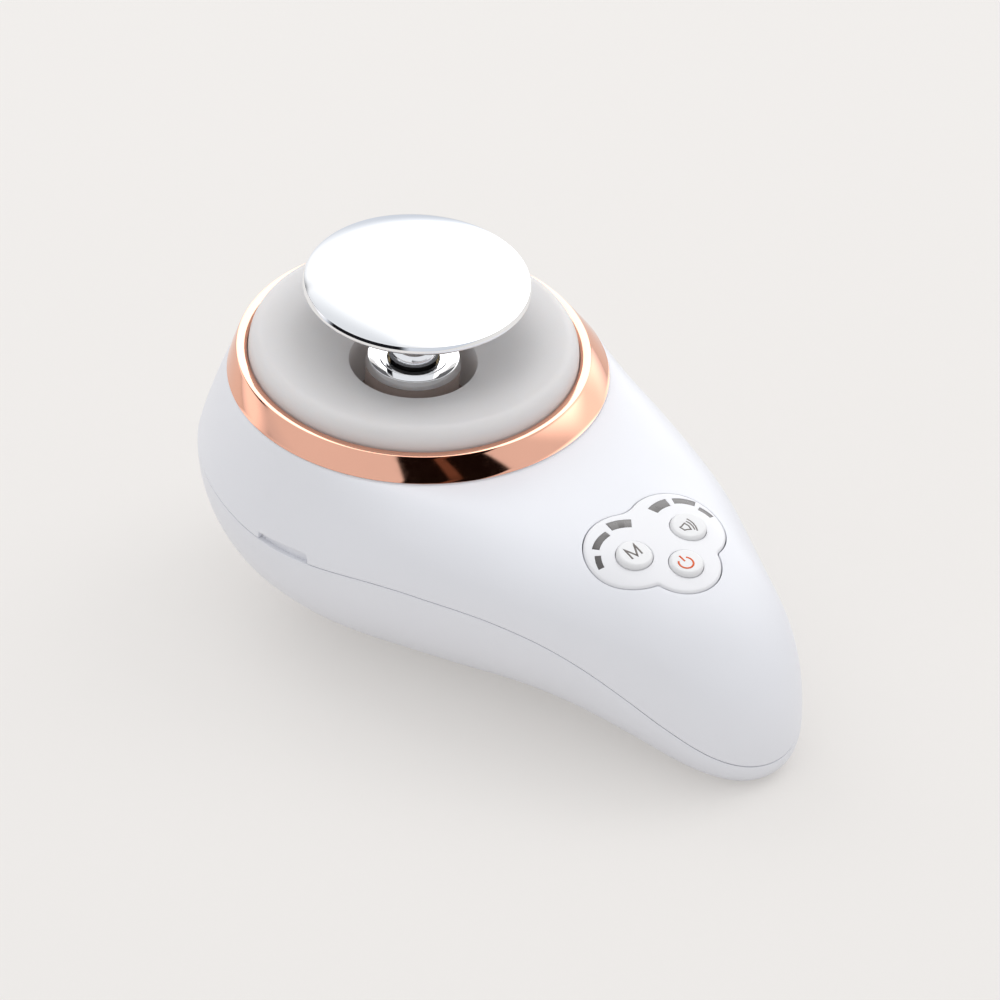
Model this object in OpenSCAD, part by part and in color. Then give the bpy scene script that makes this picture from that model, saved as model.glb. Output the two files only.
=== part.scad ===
// Hand-held facial toning device: a teardrop housing with a floating treatment disc over a
// lit ring, a three-button panel on the grip, a linear drive, a cell and its charging coil.
// Frame: millimetres, +Z up from the rest plane, +X from the head towards the tip of the grip.
// The origin is on the rest plane, in the middle of the land under the head.

/* [Housing] */
// Radius of the round head outline, seen from above
head_r = 44.2; // [42:0.1:48]
// Distance from the head centre to the tip of the grip
grip_len = 107.6; // [100:0.1:118]
// Height of the trim ring's crest above the rest plane, at its centre
head_h = 55.4; // [53:0.1:60]
// Lean of the head towards the grip, in degrees
head_tilt = 4.2; // [0:0.1:8]
// Half width of the body's envelope where the grip begins
shoulder_w = 40.4; // [38:0.1:43]
// Half width of the envelope at the middle of the grip
waist_w = 36; // [33:0.1:38]
// Half width of the envelope at the buttons
palm_w = 32.7; // [31:0.1:35]
// Half width of the envelope at the tip, before its end is rounded
tip_w = 38.8; // [35:0.1:42]
// Roundness of the tip seen from above
tip_round = 2.17; // [2:0.01:2.8]
// Squareness of the head's flank
flank_bulge = 1.1; // [1.05:0.01:1.5]
// Squareness of the crown line from the head to the tip
crown_bulge = 2.53; // [2.2:0.01:2.8]
// Squareness of the lower shell's cross-section
belly_bulge = 2.06; // [1.9:0.01:2.5]
// Wall thickness of both shells
wall = 2.4; // [2:0.1:3]
// Open gap along the joint between the shells
seam_gap = 0.16; // [0.05:0.01:0.3]
// Height of the lower shell's tongue inside the upper shell
tongue_h = 1.8; // [1.2:0.1:2.5]
// Clearance around the tongue
tongue_gap = 0.12; // [0.08:0.01:0.3]
// Depth by which the rounded belly is cut off to give the lands it stands on
land_cut = 0.3; // [0.2:0.05:0.6]

/* [Joint heights] */
// Joint height at the back of the head
joint_back = 34.5; // [32:0.1:36]
// Joint height beside the back of the head
joint_cheek = 34.1; // [32:0.1:36]
// Joint height beside the middle of the head
joint_side = 30.1; // [28:0.1:33]
// Joint height at its crest, where the grip begins
joint_crest = 32.7; // [30:0.1:35]
// Joint height beside the buttons
joint_grip = 31; // [28:0.1:32]
// Joint height on its fall to the tip
joint_fall = 19.3; // [17:0.1:22]
// Joint height at the tip
joint_tip = 10.5; // [9:0.1:12]
// Height of the arch under the grip
arch_h = 6.3; // [4:0.1:7]

/* [Notch] */
// Start of the opening notch, from the head centre towards the tip
notch_x = 2.2; // [0:0.1:6]
// Length of the opening notch
notch_len = 13.3; // [10:0.1:18]
// Height of the opening notch above the joint
notch_h = 1.7; // [1.2:0.1:2.2]

/* [Trim ring] */
// Radius of the ring's crest
crest_r = 36; // [35.5:0.1:36.8]
// Radius of the ring at its foot, where it meets the housing
ring_foot_r = 38; // [37.4:0.1:39]
// Depth of the ring's foot below its crest
ring_foot_z = 5; // [4.5:0.1:6]
// Radius of the ring's inner edge
ring_in_r = 33.8; // [33.4:0.1:34.4]
// Height of the lip that holds the diffuser down
ring_lip_h = 3; // [2.4:0.1:3.4]
// Height of the ring's spigot below its foot
spigot_h = 3; // [2:0.1:3.4]
// Thickness of the spigot
spigot_t = 0.85; // [0.7:0.05:1]
// Radial clearance between the spigot and the housing
spigot_gap = 0.15; // [0.05:0.01:0.25]

/* [Diffuser] */
// Height of the diffuser's crown above the ring's crest
dome_h = 4.1; // [2.5:0.1:5]
// Radius of the crown line
dome_r = 30.4; // [28:0.1:31.2]
// Squareness of the diffuser's outer shoulder
dome_bulge = 2.4; // [2:0.1:3]
// Fullness of the slope from the crown down to the well
slope_bulge = 2.2; // [1.6:0.1:3]
// Radius of the well through the diffuser
well_r = 13.05; // [12.9:0.05:13.4]
// Depth of the well's edge below the ring's crest
well_edge_z = 2.65; // [1.5:0.05:3.5]
// Thickness of the diffuser
diffuser_t = 1.6; // [1.2:0.1:1.8]
// Gap between the diffuser and the trim ring
diffuser_gap = 0.25; // [0.15:0.05:0.4]

/* [Collar and neck] */
// Radius of the collar's flange at its lower edge
collar_r = 9.8; // [9.6:0.05:11]
// Radius of the collar's flange at its upper edge
collar_top_r = 9; // [8.6:0.05:9.5]
// Depth of the flange's lower edge below the ring's crest
collar_low_z = 3.24; // [2.8:0.02:4]
// Depth of the flange's upper edge below the ring's crest
collar_top_z = 1.44; // [1.2:0.02:1.8]
// Radius of the bore in the collar's lip
collar_bore_r = 5.3; // [5.2:0.02:5.6]
// Depth of the bore's edge below the flange's upper edge
collar_dish = 0.4; // [0.2:0.05:0.8]
// Radius of the neck
neck_r = 5.05; // [4.7:0.01:5.1]
// Radius of the neck where it flares out under the disc
neck_flare_r = 9; // [8:0.1:12]
// Height of the flare
neck_flare_h = 7; // [4:0.1:8]
// Depth of the neck's lower end below the ring's crest
neck_low_z = 1.1; // [0.8:0.05:1.4]
// Radius of the black bearing sleeve on the stem
sleeve_r = 4.6; // [4.4:0.01:4.8]
// Length of the bearing sleeve
sleeve_len = 8.9; // [8:0.1:9.4]
// Radius of the stem inside the sleeve
stem_r = 3; // [2.6:0.1:3.1]
// Running clearance between the sleeve and its bush
bush_gap = 0.05; // [0.02:0.01:0.1]
// Wall thickness of the bush
bush_t = 1.95; // [1.5:0.05:2.2]
// Fitting clearance between pieces that are pushed together
fit_gap = 0.02; // [0.01:0.01:0.05]

/* [Treatment disc] */
// Radius of the disc at its rim
disc_r = 23.1; // [21:0.1:25]
// Radius of the crease between the rim and the domed face
crease_r = 22.75; // [20.6:0.05:24.6]
// Height of the rim's lower edge above the ring's crest
disc_low_z = 15.2; // [13:0.1:18]
// Height of the rim
rim_h = 2.1; // [1.6:0.1:2.6]
// Rise of the domed face above the crease
disc_dome_h = 4.2; // [2:0.1:6]
// Thickness of the disc's wall
disc_t = 1.6; // [1.2:0.1:2]
// Thickness of the plate that closes the disc's underside
base_t = 1.5; // [1.2:0.1:1.8]
// How far the disc can be pressed in
press_travel = 2; // [1:0.1:2.2]
// How far the drive can push the disc out
lift_travel = 0.8; // [0.4:0.1:1.2]

/* [Chassis] */
// Depth of the chassis plate's upper face below the ring's crest
plate_z = 16; // [15.5:0.1:17]
// Thickness of the chassis plate
plate_t = 2.5; // [2:0.1:3]
// Radius of the chassis plate
plate_r = 38.8; // [38.4:0.1:39.2]
// Radius of the circle that the chassis screws stand on
post_ring_r = 36.3; // [36:0.1:36.5]
// Radius of the posts that the chassis is screwed to
post_r = 2.6; // [2.2:0.1:2.8]
// Radius of the well insert's column
insert_r = 9.6; // [9.3:0.05:10]
// Radius of the small screws' shanks
screw_r = 1.1; // [0.9:0.05:1.2]
// Radius of the small screws' heads
screw_head_r = 2.1; // [1.8:0.1:2.3]
// Height of the small screws' heads
screw_head_h = 1.6; // [1.2:0.1:1.8]

/* [Linear drive] */
// Outer radius of the drive's steel cup
yoke_r = 13; // [12.8:0.1:13.4]
// Thickness of the cup's wall and floor
yoke_t = 1.6; // [1.2:0.1:1.8]
// Radius of the cup's mounting flange
yoke_flange_r = 17.2; // [16.8:0.1:18]
// Radius of the magnet on the cup's floor
magnet_r = 6; // [5:0.1:6.4]
// Height of the magnet
magnet_h = 6.5; // [5:0.1:6.6]
// Thickness of the pole plate on the magnet
pole_t = 1.6; // [1.2:0.1:1.7]
// Inner radius of the coil's bobbin
bobbin_r = 7.4; // [6.9:0.1:7.6]
// Wall thickness of the bobbin
bobbin_t = 1.1; // [0.9:0.1:1.2]
// Height of the bobbin
bobbin_h = 9.6; // [8:0.1:9.6]
// Thickness of the coil's winding
coil_t = 1.4; // [1:0.1:1.6]
// Gap left above the bobbin when the disc is pushed right out
lift_spare = 1; // [0.8:0.1:1.2]
// Gap left under the bobbin when the disc is pressed right in
press_spare = 0.5; // [0.3:0.1:1]
// Turns of the return spring
spring_turns = 4; // [3:1:5]
// Thickness of the spring's wire
spring_wire = 0.8; // [0.6:0.1:0.8]

/* [Lights] */
// Number of lights under the diffuser
light_count = 12; // [8:1:16]
// Width of each light's package
light_w = 3.5; // [2.8:0.1:4]
// Height of each light's package
light_h = 1.6; // [1:0.1:2]
// Radius of the circle that the lights stand on
light_ring_r = 24; // [22:0.1:26]
// Depth of the light board's upper face below the ring's crest
light_board_z = 8.4; // [8.2:0.1:9.2]
// Thickness of the circuit boards
board_t = 1.2; // [0.8:0.1:1.6]

/* [Button panel] */
// Distance from the head centre to the panel's centre
panel_x = 74; // [72:0.1:77]
// Depth of the panel's rim below its centre
panel_depth = 5; // [4.8:0.1:5.6]
// Thickness of the panel's roof at its centre
panel_roof = 3.6; // [3.4:0.1:4]
// Width of the panel's rim
panel_rim = 1.4; // [1:0.1:1.6]
// How far the panel stands proud of the housing
panel_proud = 0.3; // [0.1:0.05:0.5]
// Open seam around the panel
panel_gap = 0.2; // [0.1:0.01:0.3]
// Thickness of the pocket's wall around the panel
pocket_wall = 1.2; // [1:0.1:1.6]
// Thickness of the shelf that the panel's rim rests on
shelf_t = 1.2; // [1:0.1:1.3]
// Distance of the upper buttons from the centre line
button_y = 7.25; // [7:0.05:7.5]
// Distance of the upper buttons behind the panel's centre
button_back = 0.6; // [0.4:0.1:1]
// Distance of the power button in front of the panel's centre
power_front = 6.8; // [6.5:0.1:7.2]
// Distance of the upper lobes' centres behind the panel's centre
lobe_back = 2.25; // [2:0.05:2.5]
// Distance of the upper lobes' centres from the centre line
lobe_y = 5.9; // [5.6:0.1:6.2]
// Radius of the upper lobes
lobe_r = 9.95; // [9.8:0.05:10.3]
// Distance of the power lobe's centre in front of the panel's centre
power_lobe_front = 5.4; // [5.2:0.1:5.8]
// Radius of the power lobe
power_lobe_r = 8.2; // [8:0.1:8.6]
// Radius that rounds the inner corner between the upper lobes
back_fillet = 6; // [3:0.1:9]
// Radius that rounds the inner corners beside the power button
side_fillet = 1.2; // [0.8:0.1:2]
// Radius of the mode and level buttons
button_r = 3.7; // [3.4:0.05:3.8]
// Radius of the power button
power_r = 3.5; // [3.2:0.05:3.7]
// Height of the button caps above the panel's centre
button_top = 0.8; // [0.7:0.05:1.2]
// Travel of each button
button_travel = 0.4; // [0.2:0.05:0.5]
// Clearance around each button
button_gap = 0.12; // [0.08:0.01:0.2]
// Width of the flange that holds each button in
button_flange = 0.5; // [0.4:0.05:0.6]
// Thickness of the flange that holds each button in
button_flange_t = 0.8; // [0.6:0.1:1]
// Play between a button and its switch
switch_play = 0.05; // [0.02:0.01:0.1]
// Height of a switch above its board
switch_h = 1.8; // [1.6:0.1:2.2]
// Width of a switch
switch_w = 4.5; // [4:0.1:5]
// Clearance around the indicator windows
window_gap = 0.04; // [0.02:0.01:0.1]

/* [Power] */
// Diameter of the lithium cell
cell_d = 18.4; // [17:0.1:18.6]
// Length of the lithium cell
cell_len = 65; // [60:0.5:66]
// Distance from the head centre to the cell's near end
cell_x = 23; // [22.5:0.1:24.5]
// Height of the cell's axis above the rest plane
cell_z = 18.3; // [17.6:0.1:19]
// Thickness of the ribs that cradle the cell
rib_t = 1.6; // [1.2:0.1:2]
// Outer radius of the charging coil
charge_r = 15.5; // [15:0.5:17.5]
// Inner radius of the charging coil
charge_in_r = 7; // [5:0.5:9]
// Thickness of the charging coil
charge_t = 0.8; // [0.6:0.1:1.2]
// Thickness of the ferrite sheet on the charging coil
ferrite_t = 0.6; // [0.4:0.1:1]
// Radius of the driver board
driver_r = 21.5; // [20:0.1:21.8]
// Height of the driver board above the rest plane
driver_z = 9.5; // [9:0.1:10.5]
// Distance of the driver board's posts from its two centre lines
driver_post = 13.5; // [12.8:0.1:13.8]

/* [Hidden] */
eps = 0.01;
fine = 96;
medium = 48;
coarse = 24;

// ---- curves ---------------------------------------------------------------

// Slope of a curve through points P at point i; m0, if given, is the slope at its start.
function slope(P, i, m0) =
    i == 0 ? (m0 == undef ? (P[1].y - P[0].y) / (P[1].x - P[0].x) : m0)
    : i == len(P) - 1 ? (P[i].y - P[i - 1].y) / (P[i].x - P[i - 1].x)
    : (P[i + 1].y - P[i - 1].y) / (P[i + 1].x - P[i - 1].x);

// Index of the span of P that holds x
function span(P, x, i = 0) = (i >= len(P) - 2 || x < P[i + 1].x) ? i : span(P, x, i + 1);

// Smooth curve through the points P, read at x
function curve(P, x, m0) =
    let(i = span(P, x), h = P[i + 1].x - P[i].x, t = min(max((x - P[i].x) / h, 0), 1))
    (1 + 2 * t) * (1 - t) * (1 - t) * P[i].y + t * (1 - t) * (1 - t) * h * slope(P, i, m0)
    + t * t * (3 - 2 * t) * P[i + 1].y - t * t * (1 - t) * h * slope(P, i + 1, m0);

// Points of a quarter of a superellipse about c, from its side (a out) to its top (b up)
function shoulder(c, a, b, n, steps) = [for (k = [0 : steps])
    [c.x + a * pow(cos(90 * k / steps), 2 / n), c.y + b * pow(sin(90 * k / steps), 2 / n)]];

// ---- body form ------------------------------------------------------------
// The upper shell fans out from the trim ring to the joint; the lower one hangs from the joint.
// s runs from 0 at the head centre to 1 at the tip; inset moves a surface inwards.

// A point of the head's own frame (its Z is the head axis, 0 at the ring's crest)
function head_point(p) = [
    p.x * cos(head_tilt) + p.z * sin(head_tilt),
    p.y,
    head_h - p.x * sin(head_tilt) + p.z * cos(head_tilt)
];

function envelope(s, inset) = curve(
    [[0, head_r - inset], [0.3, shoulder_w - inset], [0.55, waist_w - inset],
     [0.8, palm_w - inset], [1, tip_w - inset]], s, 0);
function half_width(s, inset) = envelope(s, inset) * sqrt(max(1 - pow(s, tip_round), 0));
function joint_z(x) = curve(
    [[-head_r, joint_back], [-head_r / 2, joint_cheek], [0.2 * head_r, joint_side],
     [0.375 * grip_len, joint_crest], [0.625 * grip_len, joint_grip],
     [0.87 * grip_len, joint_fall], [grip_len, joint_tip]], x);
belly_end = 9;
function belly_z(s, inset) =
    let(base = joint_z(s * grip_len) - seam_gap,
        low = curve([[0, 0], [0.14, 0], [0.33, 0.43 * arch_h], [0.565, arch_h],
                     [0.75, 0.72 * arch_h], [0.92, 0], [1, -0.5 * arch_h]], s, 0))
    base - (base - low - inset) * sqrt(max(1 - pow(s, belly_end), 0));

// Stations round the body: the back of the head by angle, then the grip by distance
rear_step = 9;
rear_list = [for (a = [180 : -rear_step : 90 + rear_step]) a];
grip_count = 22;
grip_list = [for (k = [0 : grip_count]) sin(90 * pow(k / grip_count, 0.9))];
rear_count = len(rear_list);
station_count = rear_count + len(grip_list);

function station_s(i) = i < rear_count ? 0 : grip_list[i - rear_count];
function station_x(i) = i < rear_count ? head_r * cos(rear_list[i]) : grip_len * station_s(i);

// Point of the joint line at station i, raised by dz
function rim_point(i, inset, dz) =
    let(s = station_s(i), z = joint_z(station_x(i)) + dz)
    i < rear_count
    ? [(head_r - inset) * cos(rear_list[i]), (head_r - inset) * sin(rear_list[i]), z]
    : [(grip_len - inset) * s, half_width(s, inset), z];

// Direction of station i seen from the head centre
function fan_angle(i) = let(p = rim_point(i, 0, 0)) i == 0 ? 180 : atan2(p.y, p.x);

// Point of the ring's seat at station i, lowered by dz along the head axis
function seat_point(i, inset, dz) =
    let(a = fan_angle(i), r = ring_foot_r - inset)
    head_point([r * cos(a), i == 0 ? 0 : r * sin(a), -ring_foot_z - dz]);

// Bottom of the belly at station i
function low_point(i, inset) = let(s = station_s(i)) [(grip_len - inset) * s, 0, belly_z(s, inset)];

// Squareness of the upper shell at station i: the head's flank blends into the crown
function bulge(i) =
    let(t = max(1 - fan_angle(i) / 90, 0))
    flank_bulge + (crown_bulge - flank_bulge) * pow(t * t * (3 - 2 * t), 1.1);

// Point of a superelliptic quarter from a (flat end) to b (upright end), at angle f
function quarter(a, b, f, n) =
    let(u = pow(sin(f), 2 / n), v = pow(cos(f), 2 / n))
    [a.x + (b.x - a.x) * u, a.y + (b.y - a.y) * u, b.z + (a.z - b.z) * v];

upper_steps = 12;
upper_angles = [for (k = [0 : upper_steps]) 90 * k / upper_steps];
lower_steps = 10;
lower_angles = [for (k = [0 : lower_steps]) 90 * k / lower_steps];
step_in = wall / 2;

// Outer surface of the upper shell at station i, raised by dz
function crown_column(i, dz) =
    let(top = seat_point(i, 0, 0), rim = rim_point(i, 0, seam_gap / 2))
    [for (f = upper_angles) quarter(top, rim, f, bulge(i)) + [0, 0, dz]];

// One closed column of points round the upper shell's wall
function upper_column(i) =
    let(in_top = seat_point(i, wall, wall), in_rim = rim_point(i, wall, tongue_h + tongue_gap))
    concat(
        crown_column(i, 0),
        [rim_point(i, step_in - tongue_gap / 2, seam_gap / 2),
         rim_point(i, step_in - tongue_gap / 2, tongue_h + tongue_gap)],
        [for (k = [upper_steps : -1 : 0]) quarter(in_top, in_rim, upper_angles[k], bulge(i))],
        [seat_point(i, wall, 0)]);

// One column of points round the lower shell's wall, open at the keel
function lower_column(i) =
    let(low = low_point(i, 0), rim = rim_point(i, 0, -seam_gap / 2),
        in_low = low_point(i, wall), in_rim = rim_point(i, wall, tongue_h))
    concat(
        [for (f = lower_angles) quarter(low, rim, f, belly_bulge)],
        [rim_point(i, step_in + tongue_gap / 2, -seam_gap / 2),
         rim_point(i, step_in + tongue_gap / 2, tongue_h)],
        [for (k = [lower_steps : -1 : 0]) quarter(in_low, in_rim, lower_angles[k], belly_bulge)]);

// Triangle of V, left out where two of its corners are one point
function triangle(V, a, b, c) =
    (norm(V[a] - V[b]) < eps / 10 || norm(V[b] - V[c]) < eps / 10 || norm(V[c] - V[a]) < eps / 10)
    ? [] : [[a, b, c]];

// Shell from columns of points and their mirror images in the XZ plane.
// closed joins the last point of each column to its first; flip turns the surface over.
module mirrored_shell(columns, closed, flip) {
    n = len(columns);
    m = len(columns[0]);
    V = concat([for (c = columns) each c], [for (c = columns) each [for (p = c) [p.x, -p.y, p.z]]]);
    function at(side, i, j) = side * n * m + i * m + j % m;
    function quad(side, i, j) =
        let(a = at(side, i, j), b = at(side, i + 1, j), c = at(side, i + 1, j + 1), d = at(side, i, j + 1),
            turned = (side == 1) != flip)
        turned ? concat(triangle(V, a, b, c), triangle(V, a, c, d))
        : concat(triangle(V, a, c, b), triangle(V, a, d, c));
    polyhedron(V, [for (side = [0, 1]) for (i = [0 : n - 2]) for (j = [0 : closed ? m - 1 : m - 2])
        each quad(side, i, j)]);
}

// Grip stations left out ahead of the panel
slab_skip = 11;

// Everything under the upper shell's outer surface raised by dz, round the panel, down to floor_z
module crown_slab(dz, floor_z) {
    near = rear_count + slab_skip;
    columns = [for (i = [near : station_count - 1]) crown_column(i, dz)];
    half = [for (c = columns) [for (j = [1 : upper_steps - 2]) c[j]]];
    last = len(half) - 1;
    rows = concat(half, [for (i = [last - 1 : -1 : 0]) [for (p = half[i]) [p.x, -p.y, p.z]]]);
    n = len(rows);
    m = len(rows[0]);
    V = concat([for (r = rows) each r], [for (r = rows) each [for (p = r) [p.x, p.y, floor_z]]]);
    function at(level, i, j) = level * n * m + i * m + j;
    polyhedron(V, concat(
        [for (i = [0 : n - 2]) for (j = [0 : m - 2])
            each [[at(0, i, j), at(0, i + 1, j + 1), at(0, i + 1, j)],
                  [at(0, i, j), at(0, i, j + 1), at(0, i + 1, j + 1)]]],
        [for (i = [0 : n - 2]) for (j = [0 : m - 2])
            each [[at(1, i, j), at(1, i + 1, j), at(1, i + 1, j + 1)],
                  [at(1, i, j), at(1, i + 1, j + 1), at(1, i, j + 1)]]],
        [for (i = [0 : n - 2])
            each [[at(0, i, 0), at(0, i + 1, 0), at(1, i + 1, 0)],
                  [at(0, i, 0), at(1, i + 1, 0), at(1, i, 0)],
                  [at(0, i, m - 1), at(1, i + 1, m - 1), at(0, i + 1, m - 1)],
                  [at(0, i, m - 1), at(1, i, m - 1), at(1, i + 1, m - 1)]]],
        [for (j = [0 : m - 2])
            each [[at(0, 0, j), at(1, 0, j + 1), at(0, 0, j + 1)],
                  [at(0, 0, j), at(1, 0, j), at(1, 0, j + 1)],
                  [at(0, n - 1, j), at(0, n - 1, j + 1), at(1, n - 1, j + 1)],
                  [at(0, n - 1, j), at(1, n - 1, j + 1), at(1, n - 1, j)]]]));
}

// ---- places ---------------------------------------------------------------

// The body leans until its tip touches the plane that the head stands on; both are cut flat.
land_s = 0.15;
heel_s = 0.905;
land_low = belly_z(land_s, 0);
stand_lean = atan((belly_z(heel_s, 0) - land_low) / (grip_len * (heel_s - land_s)));
stand_x = -grip_len * land_s * cos(stand_lean) - land_low * sin(stand_lean);
stand_z = grip_len * land_s * sin(stand_lean) - land_low * cos(stand_lean) - land_cut;

module stand() {
    translate([stand_x, 0, stand_z]) rotate([0, stand_lean, 0]) children();
}

module on_head(z = 0) {
    translate([0, 0, head_h]) rotate([0, head_tilt, 0]) translate([0, 0, z]) children();
}

// Crown height at distance x, read from the column that runs along the crown
function crown_z(x) =
    let(i = station_count - 1, top = seat_point(i, 0, 0), rim = rim_point(i, 0, seam_gap / 2),
        u = (x - top.x) / (rim.x - top.x), n = bulge(i))
    rim.z + (top.z - rim.z) * pow(1 - pow(u, n), 1 / n);
slope_span = 5;
panel_lean = atan((crown_z(panel_x - slope_span) - crown_z(panel_x + slope_span)) / (2 * slope_span));

module on_panel(z = 0) {
    translate([panel_x, 0, crown_z(panel_x)]) rotate([0, panel_lean, 0]) translate([0, 0, z]) children();
}

// ---- housing --------------------------------------------------------------

post_angles = [60, 125, 235, 300];
post_top = spigot_h + ring_foot_z + 0.1;
post_pilot = 5;

module at_posts() {
    for (a = post_angles) rotate(a) translate([post_ring_r, 0, 0]) children();
}

module notch_cut() {
    near = half_width(notch_x / grip_len, 0);
    far = half_width((notch_x + notch_len) / grip_len, 0);
    lip = step_in - tongue_gap / 2;
    translate([notch_x, -near, joint_z(notch_x + notch_len / 2)])
        rotate(atan2(near - far, notch_len))
            translate([0, -wall, -notch_h]) cube([notch_len, wall + lip, 2 * notch_h]);
}

pocket_low = panel_depth + shelf_t;
shelf_w = 1;
pocket_up = 4;
pillar_clear = 0.3;
slab_floor = 20;

// Wall and shelf that carry the button panel, moulded under the upper shell
module panel_pocket() {
    difference() {
        intersection() {
            on_panel(-pocket_low) linear_extrude(pocket_low + pocket_up)
                panel_outline(panel_gap + pocket_wall);
            crown_slab(-step_in, slab_floor);
        }
        on_panel(-pocket_low - eps) linear_extrude(pocket_low + pocket_up) panel_outline(-shelf_w);
        on_panel(-pocket_low - eps) linear_extrude(pocket_low)
            at_pillars() circle(pillar_r + pillar_clear, $fn = coarse);
    }
}

module upper_housing() {
    color("whitesmoke")
    stand() difference() {
        union() {
            mirrored_shell([for (i = [0 : station_count - 1]) upper_column(i)], true, false);
            on_head(-plate_z) at_posts() cylinder(r = post_r, h = plate_z - post_top, $fn = coarse);
            panel_pocket();
        }
        on_panel(-panel_depth) linear_extrude(panel_depth + pocket_up) panel_outline(panel_gap);
        on_head(-plate_z - eps) at_posts() cylinder(r = screw_r + fit_gap, h = post_pilot, $fn = coarse);
        notch_cut();
    }
}

cell_gap = 0.2;
saddle_drop = 2;
rib_places = [cell_x + 8, cell_x + cell_len / 2, cell_x + cell_len - 10];
tray_in_r = 12;
tray_top = 4.9;
driver_post_r = 2.2;
driver_hole = 3;
tray_lip = 0.5;

// Outline of a rib across the lower shell at distance x, with the cell's saddle cut out
module cell_rib(x) {
    s = x / (grip_len - step_in);
    low = belly_z(s, step_in);
    rim = joint_z(x) - seam_gap;
    w = half_width(s, step_in);
    side = [for (f = lower_angles)
        [w * pow(sin(f), 2 / belly_bulge), rim + (low - rim) * pow(cos(f), 2 / belly_bulge)]];
    translate([x - rib_t / 2, 0, 0]) rotate([90, 0, 90]) linear_extrude(rib_t)
        difference() {
            intersection() {
                polygon(concat(side, [for (k = [lower_steps : -1 : 1]) [-side[k].x, side[k].y]]));
                translate([-cell_d, 0]) square([2 * cell_d, cell_z - saddle_drop]);
            }
            translate([0, cell_z]) circle(cell_d / 2 + cell_gap, $fn = medium);
        }
}

post_root = wall + 1;

module at_driver_posts() {
    for (x = [-1, 1], y = [-1, 1]) translate([x * driver_post, y * driver_post, 0]) children();
}

module lower_housing() {
    color("whitesmoke")
    difference() {
        stand() {
            mirrored_shell([for (i = [0 : station_count - 1]) lower_column(i)], false, true);
            for (x = rib_places) cell_rib(x);
            translate([0, 0, wall]) linear_extrude(tray_top - wall)
                difference() {
                    circle(charge_r + tray_lip, $fn = medium);
                    circle(tray_in_r, $fn = medium);
                }
            at_driver_posts() difference() {
                translate([0, 0, post_root])
                    cylinder(r = driver_post_r, h = driver_z - post_root, $fn = coarse);
                translate([0, 0, driver_z - driver_hole])
                    cylinder(r = screw_r + fit_gap, h = driver_hole + eps, $fn = coarse);
            }
        }
        translate([-grip_len, -head_r, -wall]) cube([3 * grip_len, 2 * head_r, wall]);
    }
}

// ---- head: ring, diffuser, collar ------------------------------------------

module turned(points) {
    rotate_extrude($fn = fine) polygon(points);
}

spigot_r = ring_foot_r - wall - spigot_gap;
spigot_in_r = spigot_r - spigot_t;
ring_edge_drop = 0.2;
ring_edge_w = 0.8;

module trim_ring() {
    color("#dc9f84")
    stand() on_head() turned(concat(
        shoulder([crest_r, -ring_foot_z], ring_foot_r - crest_r, ring_foot_z, 2, 9),
        [[ring_in_r + ring_edge_w, -ring_edge_drop / 3], [ring_in_r, -ring_edge_drop],
         [ring_in_r, -ring_lip_h],
         [spigot_in_r, -ring_lip_h], [spigot_in_r, -ring_foot_z - spigot_h],
         [spigot_r, -ring_foot_z - spigot_h], [spigot_r, -ring_foot_z]]));
}

dome_out_r = ring_in_r - diffuser_gap;
dome_foot_z = 0.5;
flange_r = spigot_in_r - spigot_gap;
flange_z = ring_foot_z;
// Height of the diffuser's face between the crown and the well, at share t of the way in
function dome_z(t) = dome_h - (dome_h + well_edge_z) * pow(t, slope_bulge);
function dome_radius(t) = dome_r - (dome_r - well_r) * t;
slope_steps = 8;
slope_t = 1.2 * diffuser_t;

module light_diffuser() {
    color("gainsboro")
    stand() on_head() turned(concat(
        shoulder([dome_r, -dome_foot_z], dome_out_r - dome_r, dome_h + dome_foot_z, dome_bulge, 6),
        [for (k = [1 : slope_steps]) [dome_radius(k / slope_steps), dome_z(k / slope_steps)]],
        [[well_r, -plate_z], [well_r + diffuser_t, -plate_z],
         [well_r + diffuser_t, -well_edge_z - 2 * diffuser_t]],
        [for (k = [slope_steps - 2 : -1 : 0])
            [dome_radius(k / slope_steps), dome_z(k / slope_steps) - slope_t]],
        [[dome_out_r - diffuser_t, -dome_foot_z], [dome_out_r - diffuser_t, -flange_z],
         [flange_r, -flange_z], [flange_r, -ring_lip_h], [dome_out_r, -ring_lip_h]]));
}

insert_gap = 0.05;
collar_spigot_r = 8.1;
collar_spigot_low = 6;
bush_r = sleeve_r + bush_gap + bush_t;
insert_flange_r = well_r - 0.3;
insert_flange_t = 1.5;

module well_insert() {
    color("black")
    stand() on_head() turned([
        [bush_r + fit_gap, -plate_z], [insert_flange_r, -plate_z],
        [insert_flange_r, -plate_z + insert_flange_t], [insert_r, -plate_z + insert_flange_t],
        [insert_r, -collar_low_z], [collar_spigot_r + insert_gap, -collar_low_z],
        [collar_spigot_r + insert_gap, -collar_spigot_low], [bush_r + fit_gap, -collar_spigot_low]]);
}

groove_w = 0.4;
groove_r = collar_top_r - 1.8;
collar_edge = 0.3;

module head_collar() {
    color("silver")
    stand() on_head() turned([
        [collar_bore_r, -collar_spigot_low], [collar_spigot_r, -collar_spigot_low],
        [collar_spigot_r, -collar_low_z], [collar_r, -collar_low_z], [collar_r, -collar_low_z + collar_edge],
        [collar_top_r, -collar_top_z], [groove_r, -collar_top_z],
        [groove_r - groove_w / 2, -collar_top_z - groove_w],
        [groove_r - groove_w, -collar_top_z - groove_w / 4],
        [collar_bore_r, -collar_top_z - collar_dish]]);
}

module guide_bush() {
    color("goldenrod")
    stand() on_head() turned([
        [bush_r - bush_t, -plate_z], [bush_r, -plate_z], [bush_r, -collar_spigot_low],
        [bush_r - bush_t, -collar_spigot_low]]);
}

// ---- moving head -----------------------------------------------------------

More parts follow.
